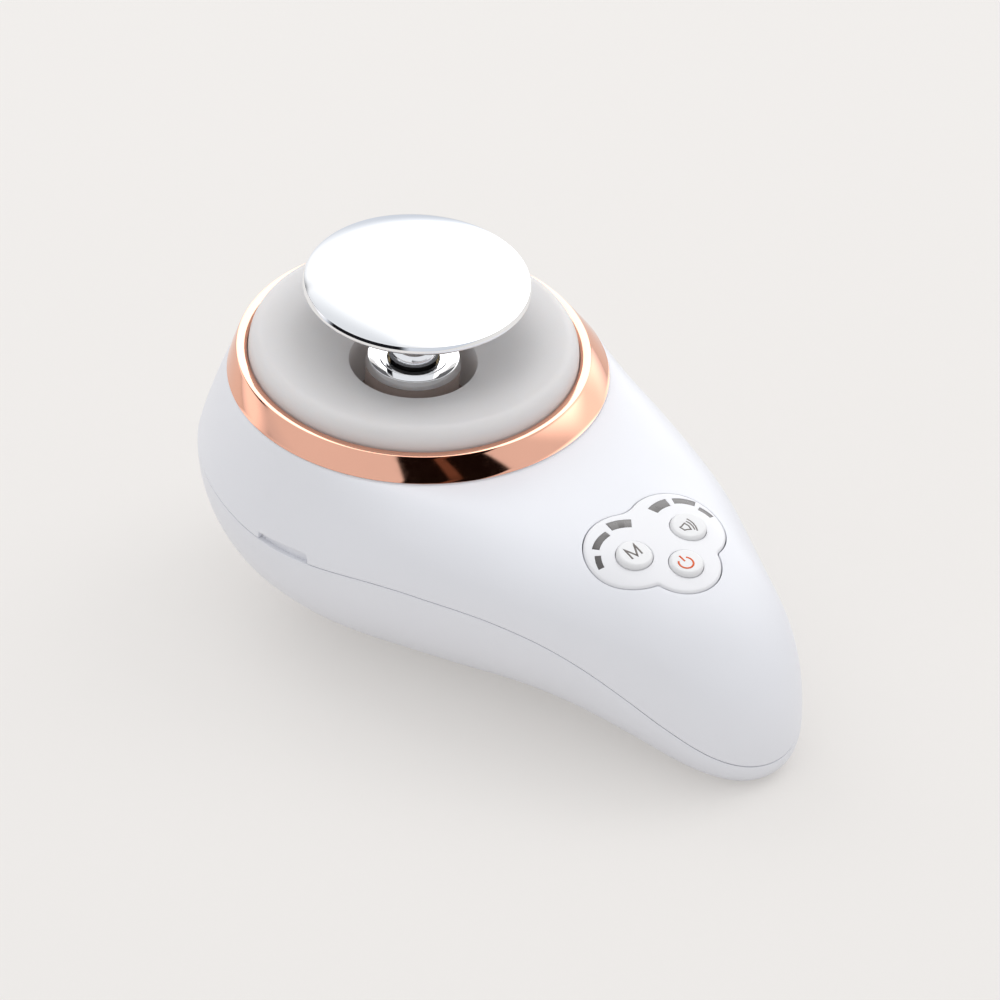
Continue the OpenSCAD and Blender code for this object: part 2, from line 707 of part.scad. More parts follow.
sleeve_low_z = neck_low_z + sleeve_len;
bobbin_gap = lift_travel + lift_spare;
bobbin_top_z = plate_z + plate_t + bobbin_gap;
bobbin_floor_t = 1.5;
stem_low_z = bobbin_top_z + bobbin_floor_t;

module bearing_sleeve() {
    color("black")
    stand() on_head() turned([
        [stem_r + fit_gap, -sleeve_low_z], [sleeve_r, -sleeve_low_z], [sleeve_r, -neck_low_z],
        [stem_r + fit_gap, -neck_low_z]]);
}

base_low_z = disc_low_z + 0.2;
flare_low_z = base_low_z - neck_flare_h;
flare_steps = 8;

module head_neck() {
    color("silver")
    stand() on_head() turned(concat(
        [[0, -stem_low_z], [stem_r, -stem_low_z], [stem_r, -neck_low_z], [neck_r, -neck_low_z]],
        [for (k = [0 : flare_steps]) [
            neck_flare_r - (neck_flare_r - neck_r) * cos(90 * k / flare_steps),
            flare_low_z + neck_flare_h * sin(90 * k / flare_steps)]],
        [[0, base_low_z]]));
}

// Radius of the sphere that a dome of radius r and rise h is cut from
function dome_sphere(r, h) = (r * r + h * h) / (2 * h);
function dome_arc(r, h, z0, steps) =
    let(R = dome_sphere(r, h), half = asin(r / R))
    [for (k = [0 : steps]) let(a = half * (1 - k / steps)) [R * sin(a), z0 + h - R * (1 - cos(a))]];
base_r = crease_r - disc_t - 0.4;
base_seat_w = 1;
dome_steps = 10;
rim_round = 0.5;
rim_flat = 0.7;

module disc_base() {
    color("dimgray")
    stand() on_head(base_low_z) cylinder(r = base_r - fit_gap, h = base_t, $fn = fine);
}

module treatment_disc() {
    crease_z = disc_low_z + rim_h;
    seat_z = base_low_z + base_t;
    inner_dome = dome_arc(base_r - base_seat_w, crease_z + disc_dome_h - disc_t - seat_z, seat_z, dome_steps);
    color("silver")
    stand() on_head() turned(concat(
        [[base_r, disc_low_z], [disc_r - rim_flat, disc_low_z]],
        [for (a = [-60 : 20 : 60])
            [disc_r - rim_round + rim_round * cos(a), disc_low_z + rim_h / 2 * (1 + sin(a))]],
        dome_arc(crease_r, disc_dome_h, crease_z, dome_steps),
        [for (k = [dome_steps : -1 : 0]) inner_dome[k]],
        [[base_r, seat_z]]));
}

// ---- chassis and drive ------------------------------------------------------

ledge_w = 1.6;
ledge_wall = 2;
ledge_root = 1;
board_play = 0.1;
screw_spare = 0.3;
ledge_z = light_board_z + board_t;
outer_ledge_r = dome_out_r - diffuser_t - 0.8;
inner_ledge_r = well_r + diffuser_t + 0.3;
stem_hole_r = stem_r + 0.4;
yoke_screw_r = 0.9;
yoke_screw_ring = yoke_r + (yoke_flange_r - yoke_r) / 2;
yoke_screw_head_r = 1.5;
yoke_screw_head_h = 1.2;
small_screw_spare = 0.2;
yoke_screw_in = 1.9;
yoke_angles = [30, 150, 270];

module at_yoke_screws() {
    for (a = yoke_angles) rotate(a) translate([yoke_screw_ring, 0, 0]) children();
}

module head_chassis() {
    color("darkgray")
    stand() on_head() difference() {
        union() {
            turned([[stem_hole_r, -plate_z - plate_t], [plate_r, -plate_z - plate_t], [plate_r, -plate_z],
                    [stem_hole_r, -plate_z]]);
            turned([[inner_ledge_r, -plate_z - ledge_root], [inner_ledge_r + ledge_w, -plate_z - ledge_root],
                    [inner_ledge_r + ledge_w, -ledge_z], [inner_ledge_r, -ledge_z]]);
            turned([[outer_ledge_r - ledge_w, -plate_z - ledge_root],
                    [outer_ledge_r + ledge_wall, -plate_z - ledge_root],
                    [outer_ledge_r + ledge_wall, -flange_z], [outer_ledge_r, -flange_z],
                    [outer_ledge_r, -ledge_z],
                    [outer_ledge_r - ledge_w, -ledge_z]]);
        }
        translate([0, 0, -plate_z - plate_t - eps]) {
            at_posts() cylinder(r = screw_r + fit_gap, h = plate_t + 2 * eps, $fn = coarse);
            at_yoke_screws() cylinder(r = yoke_screw_r + fit_gap, h = yoke_screw_in, $fn = coarse);
        }
    }
}

// Pan-head screw seen from its seat: the head hangs below 0 and the shank stands above
module screw(r, head_r, head_h, shank) {
    rotate_extrude($fn = coarse) polygon([
        [0, -head_h], [0.5 * head_r, -head_h], [head_r, -0.5 * head_h], [head_r, 0], [r, 0], [r, shank],
        [0, shank]]);
}

module chassis_screws() {
    color("silver")
    stand() on_head(-plate_z - plate_t) at_posts()
        screw(screw_r, screw_head_r, screw_head_h, plate_t + post_pilot - screw_spare);
}

module light_board() {
    color("ivory")
    stand() on_head() turned([
        [inner_ledge_r + board_play, -ledge_z], [outer_ledge_r - board_play, -ledge_z],
        [outer_ledge_r - board_play, -light_board_z], [inner_ledge_r + board_play, -light_board_z]]);
}

module ring_lights() {
    color("lightyellow")
    stand() on_head(-light_board_z)
        for (k = [0 : light_count - 1]) rotate(360 * k / light_count)
            translate([light_ring_r, 0, light_h / 2]) cube([light_w, light_w, light_h], center = true);
}

yoke_top_z = plate_z + plate_t;
yoke_h = bobbin_gap + bobbin_h + press_travel + press_spare + yoke_t;
yoke_floor_z = yoke_top_z + yoke_h;

module magnet_yoke() {
    color("slategray")
    stand() on_head() difference() {
        turned([[0, -yoke_floor_z], [yoke_r, -yoke_floor_z], [yoke_r, -yoke_top_z - yoke_t],
                [yoke_flange_r, -yoke_top_z - yoke_t], [yoke_flange_r, -yoke_top_z],
                [yoke_r - yoke_t, -yoke_top_z], [yoke_r - yoke_t, -yoke_floor_z + yoke_t],
                [0, -yoke_floor_z + yoke_t]]);
        translate([0, 0, -yoke_top_z - yoke_t - eps]) at_yoke_screws()
            cylinder(r = yoke_screw_r + fit_gap, h = yoke_t + 2 * eps, $fn = coarse);
    }
}

module yoke_screws() {
    color("silver")
    stand() on_head(-yoke_top_z - yoke_t) at_yoke_screws()
        screw(yoke_screw_r, yoke_screw_head_r, yoke_screw_head_h, yoke_t + yoke_screw_in - small_screw_spare);
}

module drive_magnet() {
    color("lightgray")
    stand() on_head(-yoke_floor_z + yoke_t) cylinder(r = magnet_r, h = magnet_h, $fn = medium);
}

pole_lip = 0.5;

module pole_plate() {
    color("slategray")
    stand() on_head(-yoke_floor_z + yoke_t + magnet_h)
        cylinder(r = magnet_r + pole_lip, h = pole_t, $fn = medium);
}

coil_flange = 0.5;
bobbin_lip = 0.2;

module coil_bobbin() {
    out = bobbin_r + bobbin_t;
    low = bobbin_top_z + bobbin_h;
    rim = out + coil_t + bobbin_lip;
    color("khaki")
    stand() on_head() turned([
        [stem_r + fit_gap, -bobbin_top_z], [stem_r + fit_gap, -stem_low_z], [bobbin_r, -stem_low_z],
        [bobbin_r, -low], [rim, -low], [rim, -low + coil_flange], [out, -low + coil_flange],
        [out, -stem_low_z], [rim, -stem_low_z], [rim, -stem_low_z + coil_flange],
        [out, -stem_low_z + coil_flange],
        [out, -bobbin_top_z]]);
}

module drive_coil() {
    out = bobbin_r + bobbin_t;
    low = bobbin_top_z + bobbin_h;
    color("chocolate")
    stand() on_head() turned([
        [out + fit_gap, -low + coil_flange], [out + coil_t, -low + coil_flange], [out + coil_t, -stem_low_z],
        [out + fit_gap, -stem_low_z]]);
}

// Compression spring from the chassis plate up to the bearing sleeve
spring_r = sleeve_r - spring_wire / 2 - 0.2;
spring_sides = 6;
spring_parts = 14;

module return_spring() {
    h = plate_z - sleeve_low_z - spring_wire;
    rings = spring_turns * spring_parts;
    V = [for (k = [0 : rings]) let(a = 360 * k / spring_parts) for (j = [0 : spring_sides - 1])
        let(b = 360 * j / spring_sides, r = spring_r + spring_wire / 2 * cos(b))
        [r * cos(a), r * sin(a), spring_wire / 2 * (1 + sin(b)) + h * k / rings]];
    color("silver")
    stand() on_head(-plate_z) polyhedron(V, concat(
        [for (k = [0 : rings - 1]) for (j = [0 : spring_sides - 1])
            let(a = k * spring_sides + j, b = k * spring_sides + (j + 1) % spring_sides)
            each [[a, b, b + spring_sides], [a, b + spring_sides, a + spring_sides]]],
        [[for (j = [spring_sides - 1 : -1 : 0]) j]],
        [[for (j = [0 : spring_sides - 1]) rings * spring_sides + j]]));
}

// ---- button panel -------------------------------------------------------------

// Centre of the circle of radius r that touches two circles from outside, to the left of a -> b
function fillet_centre(a, ra, b, rb, r) =
    let(d = norm(b - a), u = (b - a) / d, k = ((ra + r) ^ 2 - (rb + r) ^ 2 + d * d) / (2 * d))
    a + u * k + [-u.y, u.x] * sqrt((ra + r) ^ 2 - k * k);

module filleted_pair(a, ra, b, rb, r) {
    c = fillet_centre(a, ra, b, rb, r);
    difference() {
        polygon([a, b, c]);
        translate(c) circle(r, $fn = medium);
    }
}

least_fillet = 0.3;

// Three-lobed outline of the panel, grown by a margin
module panel_outline(grow) {
    left = [-lobe_back, -lobe_y];
    right = [-lobe_back, lobe_y];
    front = [power_lobe_front, 0];
    ra = lobe_r + grow;
    rb = power_lobe_r + grow;
    for (c = [left, right]) translate(c) circle(ra, $fn = fine);
    translate(front) circle(rb, $fn = fine);
    if (back_fillet > grow + least_fillet) filleted_pair(left, ra, right, ra, back_fillet - grow);
    if (side_fillet > grow + least_fillet) {
        filleted_pair(right, ra, front, rb, side_fillet - grow);
        filleted_pair(front, rb, left, ra, side_fillet - grow);
    }
}

// Indicator arcs about each upper button: from, to, middle radius, width
mode_arcs = [[188, 218, 9.1, 2.3], [141, 179, 7.75, 1.45], [104, 129, 7.2, 0.9]];
level_arcs = [[168, 200, 8, 2.2], [127, 159, 8.15, 1.6], [94, 119, 7.2, 0.8]];
arc_steps = 6;

module arc_shape(arc, grow) {
    r0 = arc[2] - arc[3] / 2 - grow;
    r1 = arc[2] + arc[3] / 2 + grow;
    spare = grow / arc[2] * 180 / PI;
    angles = [for (k = [0 : arc_steps]) arc[0] - spare + (arc[1] - arc[0] + 2 * spare) * k / arc_steps];
    polygon(concat([for (a = angles) r1 * [cos(a), sin(a)]],
                   [for (k = [arc_steps : -1 : 0]) r0 * [cos(angles[k]), sin(angles[k])]]));
}

// side is 1 for the level button and -1 for the mode button
module arcs_2d(arcs, side, grow) {
    translate([-button_back, side * button_y]) mirror([0, side < 0 ? 1 : 0])
        for (arc = arcs) arc_shape(arc, grow);
}

board_z = panel_roof + button_flange_t + button_travel + switch_play + switch_h;
pillar_places = [[-6.5, 0], [3.2, -11.8], [3.2, 11.8]];
pillar_r = 1.6;
pillar_root = 0.5;
pillar_screw_r = 0.7;
pillar_hole = 2.6;
pillar_screw_head_r = 1.3;
pillar_screw_head_h = 0.9;

module at_pillars() {
    for (p = pillar_places) translate(p) children();
}

button_places = [[-button_back, -button_y, button_r], [-button_back, button_y, button_r],
                 [power_front, 0, power_r]];

module control_panel() {
    color("white")
    stand() difference() {
        union() {
            difference() {
                intersection() {
                    on_panel(-panel_depth) linear_extrude(panel_depth + pocket_up) panel_outline(0);
                    crown_slab(panel_proud, slab_floor);
                }
                on_panel(-panel_depth - eps) linear_extrude(panel_depth - panel_roof + eps)
                    panel_outline(-panel_rim);
            }
            on_panel(-board_z) linear_extrude(board_z - panel_roof + pillar_root)
                at_pillars() circle(pillar_r, $fn = coarse);
        }
        on_panel(-panel_depth - eps) for (b = button_places)
            translate([b.x, b.y, 0])
                cylinder(r = b.z + button_gap, h = panel_depth + pocket_up, $fn = medium);
        on_panel(-panel_depth - eps) linear_extrude(panel_depth + pocket_up) {
            arcs_2d(mode_arcs, -1, window_gap);
            arcs_2d(level_arcs, 1, window_gap);
        }
        on_panel(-board_z - eps) linear_extrude(pillar_hole)
            at_pillars() circle(pillar_screw_r + fit_gap, $fn = coarse);
    }
}

cap_edge = 0.5;
cap_crown = 0.1;

module button(place) {
    r = place.z;
    low = -panel_roof - button_flange_t;
    stand() on_panel() translate([place.x, place.y, 0]) rotate_extrude($fn = medium) polygon(concat(
        [[0, low], [r + button_flange, low], [r + button_flange, -panel_roof], [r, -panel_roof]],
        [for (a = [0 : 15 : 90])
            [r - cap_edge + cap_edge * cos(a), button_top - cap_edge + cap_edge * sin(a)]],
        [[0, button_top + cap_crown]]));
}

module mode_button() {
    color("white") button(button_places[0]);
}

module level_button() {
    color("white") button(button_places[1]);
}

module power_button() {
    color("white") button(button_places[2]);
}

module windows(arcs, side) {
    color("gray")
    stand() intersection() {
        on_panel(-panel_roof) linear_extrude(panel_roof + pocket_up) arcs_2d(arcs, side, 0);
        crown_slab(panel_proud, slab_floor);
    }
}

module mode_windows() {
    windows(mode_arcs, -1);
}

module level_windows() {
    windows(level_arcs, 1);
}

board_inset = 1.4;

module control_board() {
    color("seagreen")
    stand() on_panel(-board_z - board_t) linear_extrude(board_t) difference() {
        panel_outline(-board_inset);
        at_pillars() circle(pillar_screw_r + board_play, $fn = coarse);
    }
}

module board_screws() {
    color("silver")
    stand() on_panel(-board_z - board_t) for (p = pillar_places) translate(p)
        screw(pillar_screw_r, pillar_screw_head_r, pillar_screw_head_h,
              board_t + pillar_hole - small_screw_spare);
}

plunger_r = 1.2;
plunger_h = 0.4;

module tact_switches() {
    color("dimgray")
    stand() on_panel(-board_z) for (b = button_places) translate([b.x, b.y, 0]) {
        translate([-switch_w / 2, -switch_w / 2, 0]) cube([switch_w, switch_w, switch_h - plunger_h]);
        cylinder(r = plunger_r, h = switch_h, $fn = coarse);
    }
}

lamp_size = [1.6, 1, 0.7];
lamp_inset = 0.3;

module lamps(arcs, side) {
    translate([-button_back, side * button_y, 0]) for (arc = arcs) {
        a = side * (arc[0] + arc[1]) / 2;
        rotate(a) translate([arc[2] - lamp_size.x / 2 - lamp_inset, -lamp_size.y / 2, 0]) cube(lamp_size);
    }
}

module indicator_lamps() {
    color("lightyellow")
    stand() on_panel(-board_z) {
        lamps(mode_arcs, -1);
        lamps(level_arcs, 1);
    }
}

// ---- power --------------------------------------------------------------------

cap_h = 1;

module battery_cell() {
    color("mediumseagreen")
    stand() translate([cell_x, 0, cell_z]) rotate([0, 90, 0]) {
        cylinder(r = cell_d / 2, h = cell_len - cap_h, $fn = medium);
        cylinder(r = cell_d / 4, h = cell_len, $fn = medium);
    }
}

tab_t = 0.3;
tab_w = 7;

module cell_tabs() {
    color("silver")
    stand() for (x = [cell_x - tab_t, cell_x + cell_len])
        translate([x, -tab_w / 2, cell_z - tab_w / 2]) cube([tab_t, tab_w, tab_w]);
}

module charging_coil() {
    color("peru")
    stand() translate([0, 0, tray_top])
        turned([[charge_in_r, 0], [charge_r, 0], [charge_r, charge_t], [charge_in_r, charge_t]]);
}

module ferrite_sheet() {
    color("black")
    stand() translate([0, 0, tray_top + charge_t]) cylinder(r = charge_r, h = ferrite_t, $fn = fine);
}

module driver_board() {
    color("seagreen")
    stand() translate([0, 0, driver_z]) difference() {
        cylinder(r = driver_r, h = board_t, $fn = fine);
        translate([0, 0, -eps]) at_driver_posts()
            cylinder(r = screw_r + board_play, h = board_t + 2 * eps, $fn = coarse);
    }
}

module driver_screws() {
    color("silver")
    stand() translate([0, 0, driver_z + board_t]) at_driver_posts()
        mirror([0, 0, 1]) screw(screw_r, screw_head_r, screw_head_h, board_t + driver_hole - screw_spare);
}

upper_housing();
lower_housing();
trim_ring();
light_diffuser();
light_board();
ring_lights();
head_chassis();
chassis_screws();
well_insert();
head_collar();
guide_bush();
bearing_sleeve();
head_neck();
disc_base();
treatment_disc();
magnet_yoke();
yoke_screws();
drive_magnet();
pole_plate();
coil_bobbin();
drive_coil();
return_spring();
control_panel();
mode_button();
level_button();
power_button();
mode_windows();
level_windows();
control_board();
board_screws();
tact_switches();
indicator_lamps();
battery_cell();
cell_tabs();
charging_coil();
ferrite_sheet();
driver_board();
driver_screws();
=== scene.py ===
# Looks of the hand-held facial toning device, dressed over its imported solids.
# All sizes are millimetres in the body's own frame; to_part() takes them to the shared frame in metres.
import math

import bpy
import bmesh
import numpy as np
from mathutils import Matrix, Vector
from mathutils.bvhtree import BVHTree
from mathutils.geometry import delaunay_2d_cdt


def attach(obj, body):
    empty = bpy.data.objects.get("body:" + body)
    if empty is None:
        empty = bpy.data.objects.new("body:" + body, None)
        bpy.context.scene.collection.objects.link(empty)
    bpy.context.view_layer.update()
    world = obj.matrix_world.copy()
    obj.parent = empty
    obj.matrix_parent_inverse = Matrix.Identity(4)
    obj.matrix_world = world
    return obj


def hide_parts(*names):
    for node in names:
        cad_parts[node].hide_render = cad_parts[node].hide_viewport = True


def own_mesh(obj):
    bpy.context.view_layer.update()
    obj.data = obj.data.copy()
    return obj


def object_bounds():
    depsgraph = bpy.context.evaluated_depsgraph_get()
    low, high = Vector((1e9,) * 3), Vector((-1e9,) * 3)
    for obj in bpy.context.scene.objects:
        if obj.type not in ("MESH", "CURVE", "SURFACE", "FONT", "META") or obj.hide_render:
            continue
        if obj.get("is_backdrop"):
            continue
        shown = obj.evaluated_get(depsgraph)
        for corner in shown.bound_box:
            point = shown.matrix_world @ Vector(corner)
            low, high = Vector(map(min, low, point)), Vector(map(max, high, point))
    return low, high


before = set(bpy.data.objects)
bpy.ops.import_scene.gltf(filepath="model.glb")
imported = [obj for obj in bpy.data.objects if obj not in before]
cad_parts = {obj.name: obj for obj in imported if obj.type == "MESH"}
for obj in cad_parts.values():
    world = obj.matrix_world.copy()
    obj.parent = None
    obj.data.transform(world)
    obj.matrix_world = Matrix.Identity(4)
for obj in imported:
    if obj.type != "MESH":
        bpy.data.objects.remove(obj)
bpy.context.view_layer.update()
MM = 0.001

# ---- sizes shared with the solids -------------------------------------------

HEAD_R, GRIP_LEN, HEAD_H, HEAD_TILT = 44.2, 107.6, 55.4, 4.2
SHOULDER_W, WAIST_W, HIP_W, TIP_W, TIP_ROUND = 40.4, 36, 32.7, 38.8, 2.17
BELLY_ARCH, BELLY_BULGE, BELLY_END = 6.3, 2.06, 9
SIDE_BULGE, CROWN_BULGE, BULGE_TURN = 1.1, 2.53, 1.1
WALL, SEAM_GAP, TONGUE_H, TONGUE_GAP = 2.4, 0.16, 1.8, 0.12
STEP_IN = WALL / 2
SEAT_R = 38.0
SPIGOT_R = SEAT_R - WALL - 0.15
STAND_LEAN, STAND_X, STAND_Z = 2.94698, -16.1232, 0.441893
PANEL_X, PANEL_Z, PANEL_LEAN = 74.0, 44.6423, 12.5933
PANEL_PROUD, PANEL_GAP, PANEL_DEPTH, PANEL_ROOF = 0.3, 0.2, 5.0, 3.6
NOTCH_X, NOTCH_LEN, NOTCH_H = 2.2, 13.3, 1.7
# Keys and windows: centre along and across the panel, then the radius; first and last angle, radius, width
BUTTONS = {"mode": (-0.6, -7.25, 3.7), "level": (-0.6, 7.25, 3.7), "power": (6.8, 0.0, 3.5)}
BUTTON_TOP = 1.9
MODE_ARCS = [(188, 218, 9.1, 2.3), (141, 179, 7.75, 1.45), (104, 129, 7.2, 1.2)]
LEVEL_ARCS = [(168, 200, 8.0, 2.2), (127, 159, 8.15, 1.6), (94, 119, 7.2, 1.15)]


def curve(points, x, first=None):
    """Smooth curve through the points, read at x."""
    p = np.array(points, float)
    n = len(p)
    i = 0
    while i < n - 2 and x >= p[i + 1, 0]:
        i += 1

    def slope(k):
        if k == 0:
            return (p[1, 1] - p[0, 1]) / (p[1, 0] - p[0, 0]) if first is None else first
        a, b = (k - 1, k) if k == n - 1 else (k - 1, k + 1)
        return (p[b, 1] - p[a, 1]) / (p[b, 0] - p[a, 0])

    h = p[i + 1, 0] - p[i, 0]
    t = min(max((x - p[i, 0]) / h, 0), 1)
    return ((1 + 2 * t) * (1 - t) ** 2 * p[i, 1] + t * (1 - t) ** 2 * h * slope(i)
            + t * t * (3 - 2 * t) * p[i + 1, 1] - t * t * (1 - t) * h * slope(i + 1))


def half_width(s, inset=0.0):
    """Half the body's width at the share s of the grip's length."""
    env = curve([[0, HEAD_R - inset], [0.3, SHOULDER_W - inset], [0.55, WAIST_W - inset],
                 [0.8, HIP_W - inset], [1, TIP_W - inset]], s, 0)
    return env * math.sqrt(max(1 - s ** TIP_ROUND, 0))


def joint_z(x):
    """Height of the line where the two shells meet."""
    return curve([[-HEAD_R, 34.5], [-HEAD_R / 2, 34.1], [0.2 * HEAD_R, 30.1], [0.375 * GRIP_LEN, 32.7],
                  [0.625 * GRIP_LEN, 31.0], [0.87 * GRIP_LEN, 19.3], [GRIP_LEN, 10.5]], x)


def belly_z(s, inset=0.0):
    """Height of the underside along the middle."""
    base = joint_z(s * GRIP_LEN) - SEAM_GAP
    low = curve([[0, 0], [0.14, 0], [0.33, 0.43 * BELLY_ARCH], [0.565, BELLY_ARCH], [0.75, 0.72 * BELLY_ARCH],
                 [0.92, 0], [1, -0.5 * BELLY_ARCH]], s, 0)
    return base - (base - low - inset) * math.sqrt(max(1 - s ** BELLY_END, 0))


def head_point(x, y, z):
    a = math.radians(HEAD_TILT)
    return np.array([x * math.cos(a) + z * math.sin(a), y, HEAD_H - x * math.sin(a) + z * math.cos(a)])


def panel_point(u, v, w):
    a = math.radians(PANEL_LEAN)
    return np.array([PANEL_X + u * math.cos(a) + w * math.sin(a), v,
                     PANEL_Z - u * math.sin(a) + w * math.cos(a)])


def panel_uvw(p):
    a = math.radians(PANEL_LEAN)
    q = np.asarray(p, float) - np.array([PANEL_X, 0, PANEL_Z])
    return np.stack([q[..., 0] * math.cos(a) - q[..., 2] * math.sin(a), q[..., 1],
                     q[..., 0] * math.sin(a) + q[..., 2] * math.cos(a)], -1)


def to_part(p):
    """Points of the body's own frame, standing on the rest plane, in metres."""
    a = math.radians(STAND_LEAN)
    p = np.asarray(p, float).reshape(-1, 3)
    out = np.stack([p[:, 0] * math.cos(a) + p[:, 2] * math.sin(a) + STAND_X, p[:, 1],
                    -p[:, 0] * math.sin(a) + p[:, 2] * math.cos(a) + STAND_Z], 1)
    out[:, 2] = np.maximum(out[:, 2], 0)
    return out * MM


# ---- stations round the body ------------------------------------------------

REAR_STEP, GRIP_STEPS = 1.5, 150
rear = [180 - REAR_STEP * k for k in range(int(90 / REAR_STEP))]
ends = [NOTCH_X - 0.02, NOTCH_X + 0.02]
ends += [NOTCH_X + NOTCH_LEN - d for d in (1.3, 1.0, 0.7, 0.45, 0.25, 0.1, 0.02, -0.02)]
grip = sorted(set([math.sin(math.pi / 2 * (k / GRIP_STEPS) ** 0.9) for k in range(GRIP_STEPS + 1)]
                  + [e / GRIP_LEN for e in ends]))
STATIONS = [("rear", a) for a in rear] + [("grip", s) for s in grip]


def rim_point(st, inset, dz):
    """Point of the joint line at a station, set in and raised."""
    kind, v = st
    if kind == "rear":
        a = math.radians(v)
        return np.array([(HEAD_R - inset) * math.cos(a), (HEAD_R - inset) * math.sin(a),
                         joint_z(HEAD_R * math.cos(a)) + dz])
    return np.array([(GRIP_LEN - inset) * v, half_width(v, inset), joint_z(GRIP_LEN * v) + dz])


def fan_angle(st):
    """Direction of a station's column, seen from above, in degrees."""
    p = rim_point(st, 0, 0)
    return 180.0 if st == STATIONS[0] else math.degrees(math.atan2(p[1], p[0]))


FOOT_SHIFT, FOOT_R, FOOT_Z, FOOT_SLOPE = 1.61, 38.8, -4.35, 0.0203


def ring_foot(a, inset=0.0, dz=0.0):
    """Point of the trim ring's foot in the head's frame: its circle sits a little towards the grip."""
    x = FOOT_SHIFT + (FOOT_R - inset) * math.cos(a)
    return np.array([x, (FOOT_R - inset) * math.sin(a), FOOT_Z + FOOT_SLOPE * x - dz])


def seat_point(st, inset, dz):
    """Point under the ring's foot where a station's column ends."""
    p = ring_foot(math.radians(fan_angle(st)), inset, dz)
    y = 0.0 if st == STATIONS[0] or st == STATIONS[-1] else p[1]
    return head_point(p[0], y, p[2])


def low_point(st, inset):
    """Point on the middle of the underside where a station's column starts."""
    s = 0.0 if st[0] == "rear" else st[1]
    return np.array([(GRIP_LEN - inset) * s, 0, belly_z(s, inset)])


def bulge(st):
    """How full the flank curves at a station: sharper at the head, fuller along the grip."""
    t = max(1 - fan_angle(st) / 90, 0)
    return SIDE_BULGE + (CROWN_BULGE - SIDE_BULGE) * (t * t * (3 - 2 * t)) ** BULGE_TURN


def quarter(a, b, f, n):
    """Point at the angle f on a quarter of a superellipse of power n from a to b."""
    u, v = max(math.sin(f), 0) ** (2 / n), max(math.cos(f), 0) ** (2 / n)
    return np.array([a[0] + (b[0] - a[0]) * u, a[1] + (b[1] - a[1]) * u, b[2] + (a[2] - b[2]) * v])


COLUMN_STEPS, INNER_STEPS = 90, 24
SHARES = [(1 - math.cos(math.pi * k / COLUMN_STEPS)) / 2 for k in range(COLUMN_STEPS + 1)]
LIP, NOTCH_LIP = 0.15, 0.45      # rounding of the shells' lips along the joint, and more over the notch
SEAT_DROP, SEAT_TOP = 0.28, 0.02 # groove between the ring's foot and the shell, and what stays under the foot
SEAT_STEPS = [(0.9, SEAT_TOP), (0.35, SEAT_TOP), (0.12, 0.1)]
TONGUE_ROOM = TONGUE_H + TONGUE_GAP + 0.3
ARC = [math.radians(a) for a in (22.5, 45, 67.5, 90)]


def inward(st):
    """Level direction into the body at a station."""
    d = rim_point(st, 1, 0) - rim_point(st, 0, 0)
    d[2] = 0
    n = np.linalg.norm(d)
    return d / n if n > 1e-9 else np.array([-1.0, 0, 0])


def upper_column(st, lift):
    """Points down the upper shell's outside, round its lip and up its inside. lift raises the lip."""
    top = seat_point(st, 0, SEAT_DROP)
    rim = rim_point(st, 0, SEAM_GAP / 2 + LIP)
    n = bulge(st)
    lip = LIP + NOTCH_LIP * min(lift, 1)
    target = rim[2] + lift + lip - LIP
    last = math.acos(min(max((target - rim[2]) / (top[2] - rim[2]), 0), 1) ** (n / 2))
    pts = [seat_point(st, inset, dz) for inset, dz in SEAT_STEPS]
    pts += [quarter(top, rim, last * k, n) for k in SHARES]
    end, inn = pts[-1], inward(st)
    pts += [end + inn * lip * (1 - math.cos(a)) - np.array([0, 0, lip * math.sin(a)]) for a in ARC]
    back = rim_point(st, STEP_IN - TONGUE_GAP / 2, 0)
    pts.append(np.array([back[0], back[1], pts[-1][2]]))
    pts.append(rim_point(st, STEP_IN - TONGUE_GAP / 2, TONGUE_ROOM))
    a, b = seat_point(st, WALL, WALL), rim_point(st, WALL, TONGUE_ROOM)
    pts += [quarter(a, b, math.pi / 2 * (1 - k / INNER_STEPS), n) for k in range(INNER_STEPS + 1)]
    pts.append(seat_point(st, WALL, SEAT_TOP))
    return pts


def lower_column(st):
    """Points up the lower shell's outside, round its lip and tongue and down its inside."""
    low, rim = low_point(st, 0), rim_point(st, 0, -SEAM_GAP / 2 - LIP)
    pts = [quarter(low, rim, math.pi / 2 * k, BELLY_BULGE) for k in SHARES]
    end, inn = pts[-1], inward(st)
    pts += [end + inn * LIP * (1 - math.cos(a)) + np.array([0, 0, LIP * math.sin(a)]) for a in ARC]
    pts.append(rim_point(st, STEP_IN + TONGUE_GAP / 2, -SEAM_GAP / 2))
    pts.append(rim_point(st, STEP_IN + TONGUE_GAP / 2, TONGUE_H))
    a, b = low_point(st, WALL), rim_point(st, WALL, TONGUE_H)
    pts += [quarter(a, b, math.pi / 2 * (1 - k / INNER_STEPS), BELLY_BULGE) for k in range(INNER_STEPS + 1)]
    return pts


NOTCH_ROUND, NOTCH_START, NOTCH_RISE = 1.2, 0.55, 9


def notch_lift(st):
    """How far the opening notch raises the lip at a station of the near side."""
    if st[0] == "rear":
        return 0.0
    x = st[1] * GRIP_LEN - NOTCH_X
    if x < 0 or x > NOTCH_LEN:
        return 0.0
    near_end = max(x - (NOTCH_LEN - NOTCH_ROUND), 0) / NOTCH_ROUND
    rise = NOTCH_START + (1 - NOTCH_START) * min(x / NOTCH_RISE, 1)
    return rise * NOTCH_H * math.sqrt(max(1 - near_end ** 2, 0)) + 1e-4


def ring_of_columns(make, near_make):
    """Columns round the whole body: the far side (+y) and the mirrored near side, sharing both ends."""
    far = [make(st) for st in STATIONS]
    near = [[np.array([p[0], -p[1], p[2]]) for p in near_make(st)] for st in STATIONS]
    return np.array(far + near[-2:0:-1])


# ---- mesh helpers -----------------------------------------------------------

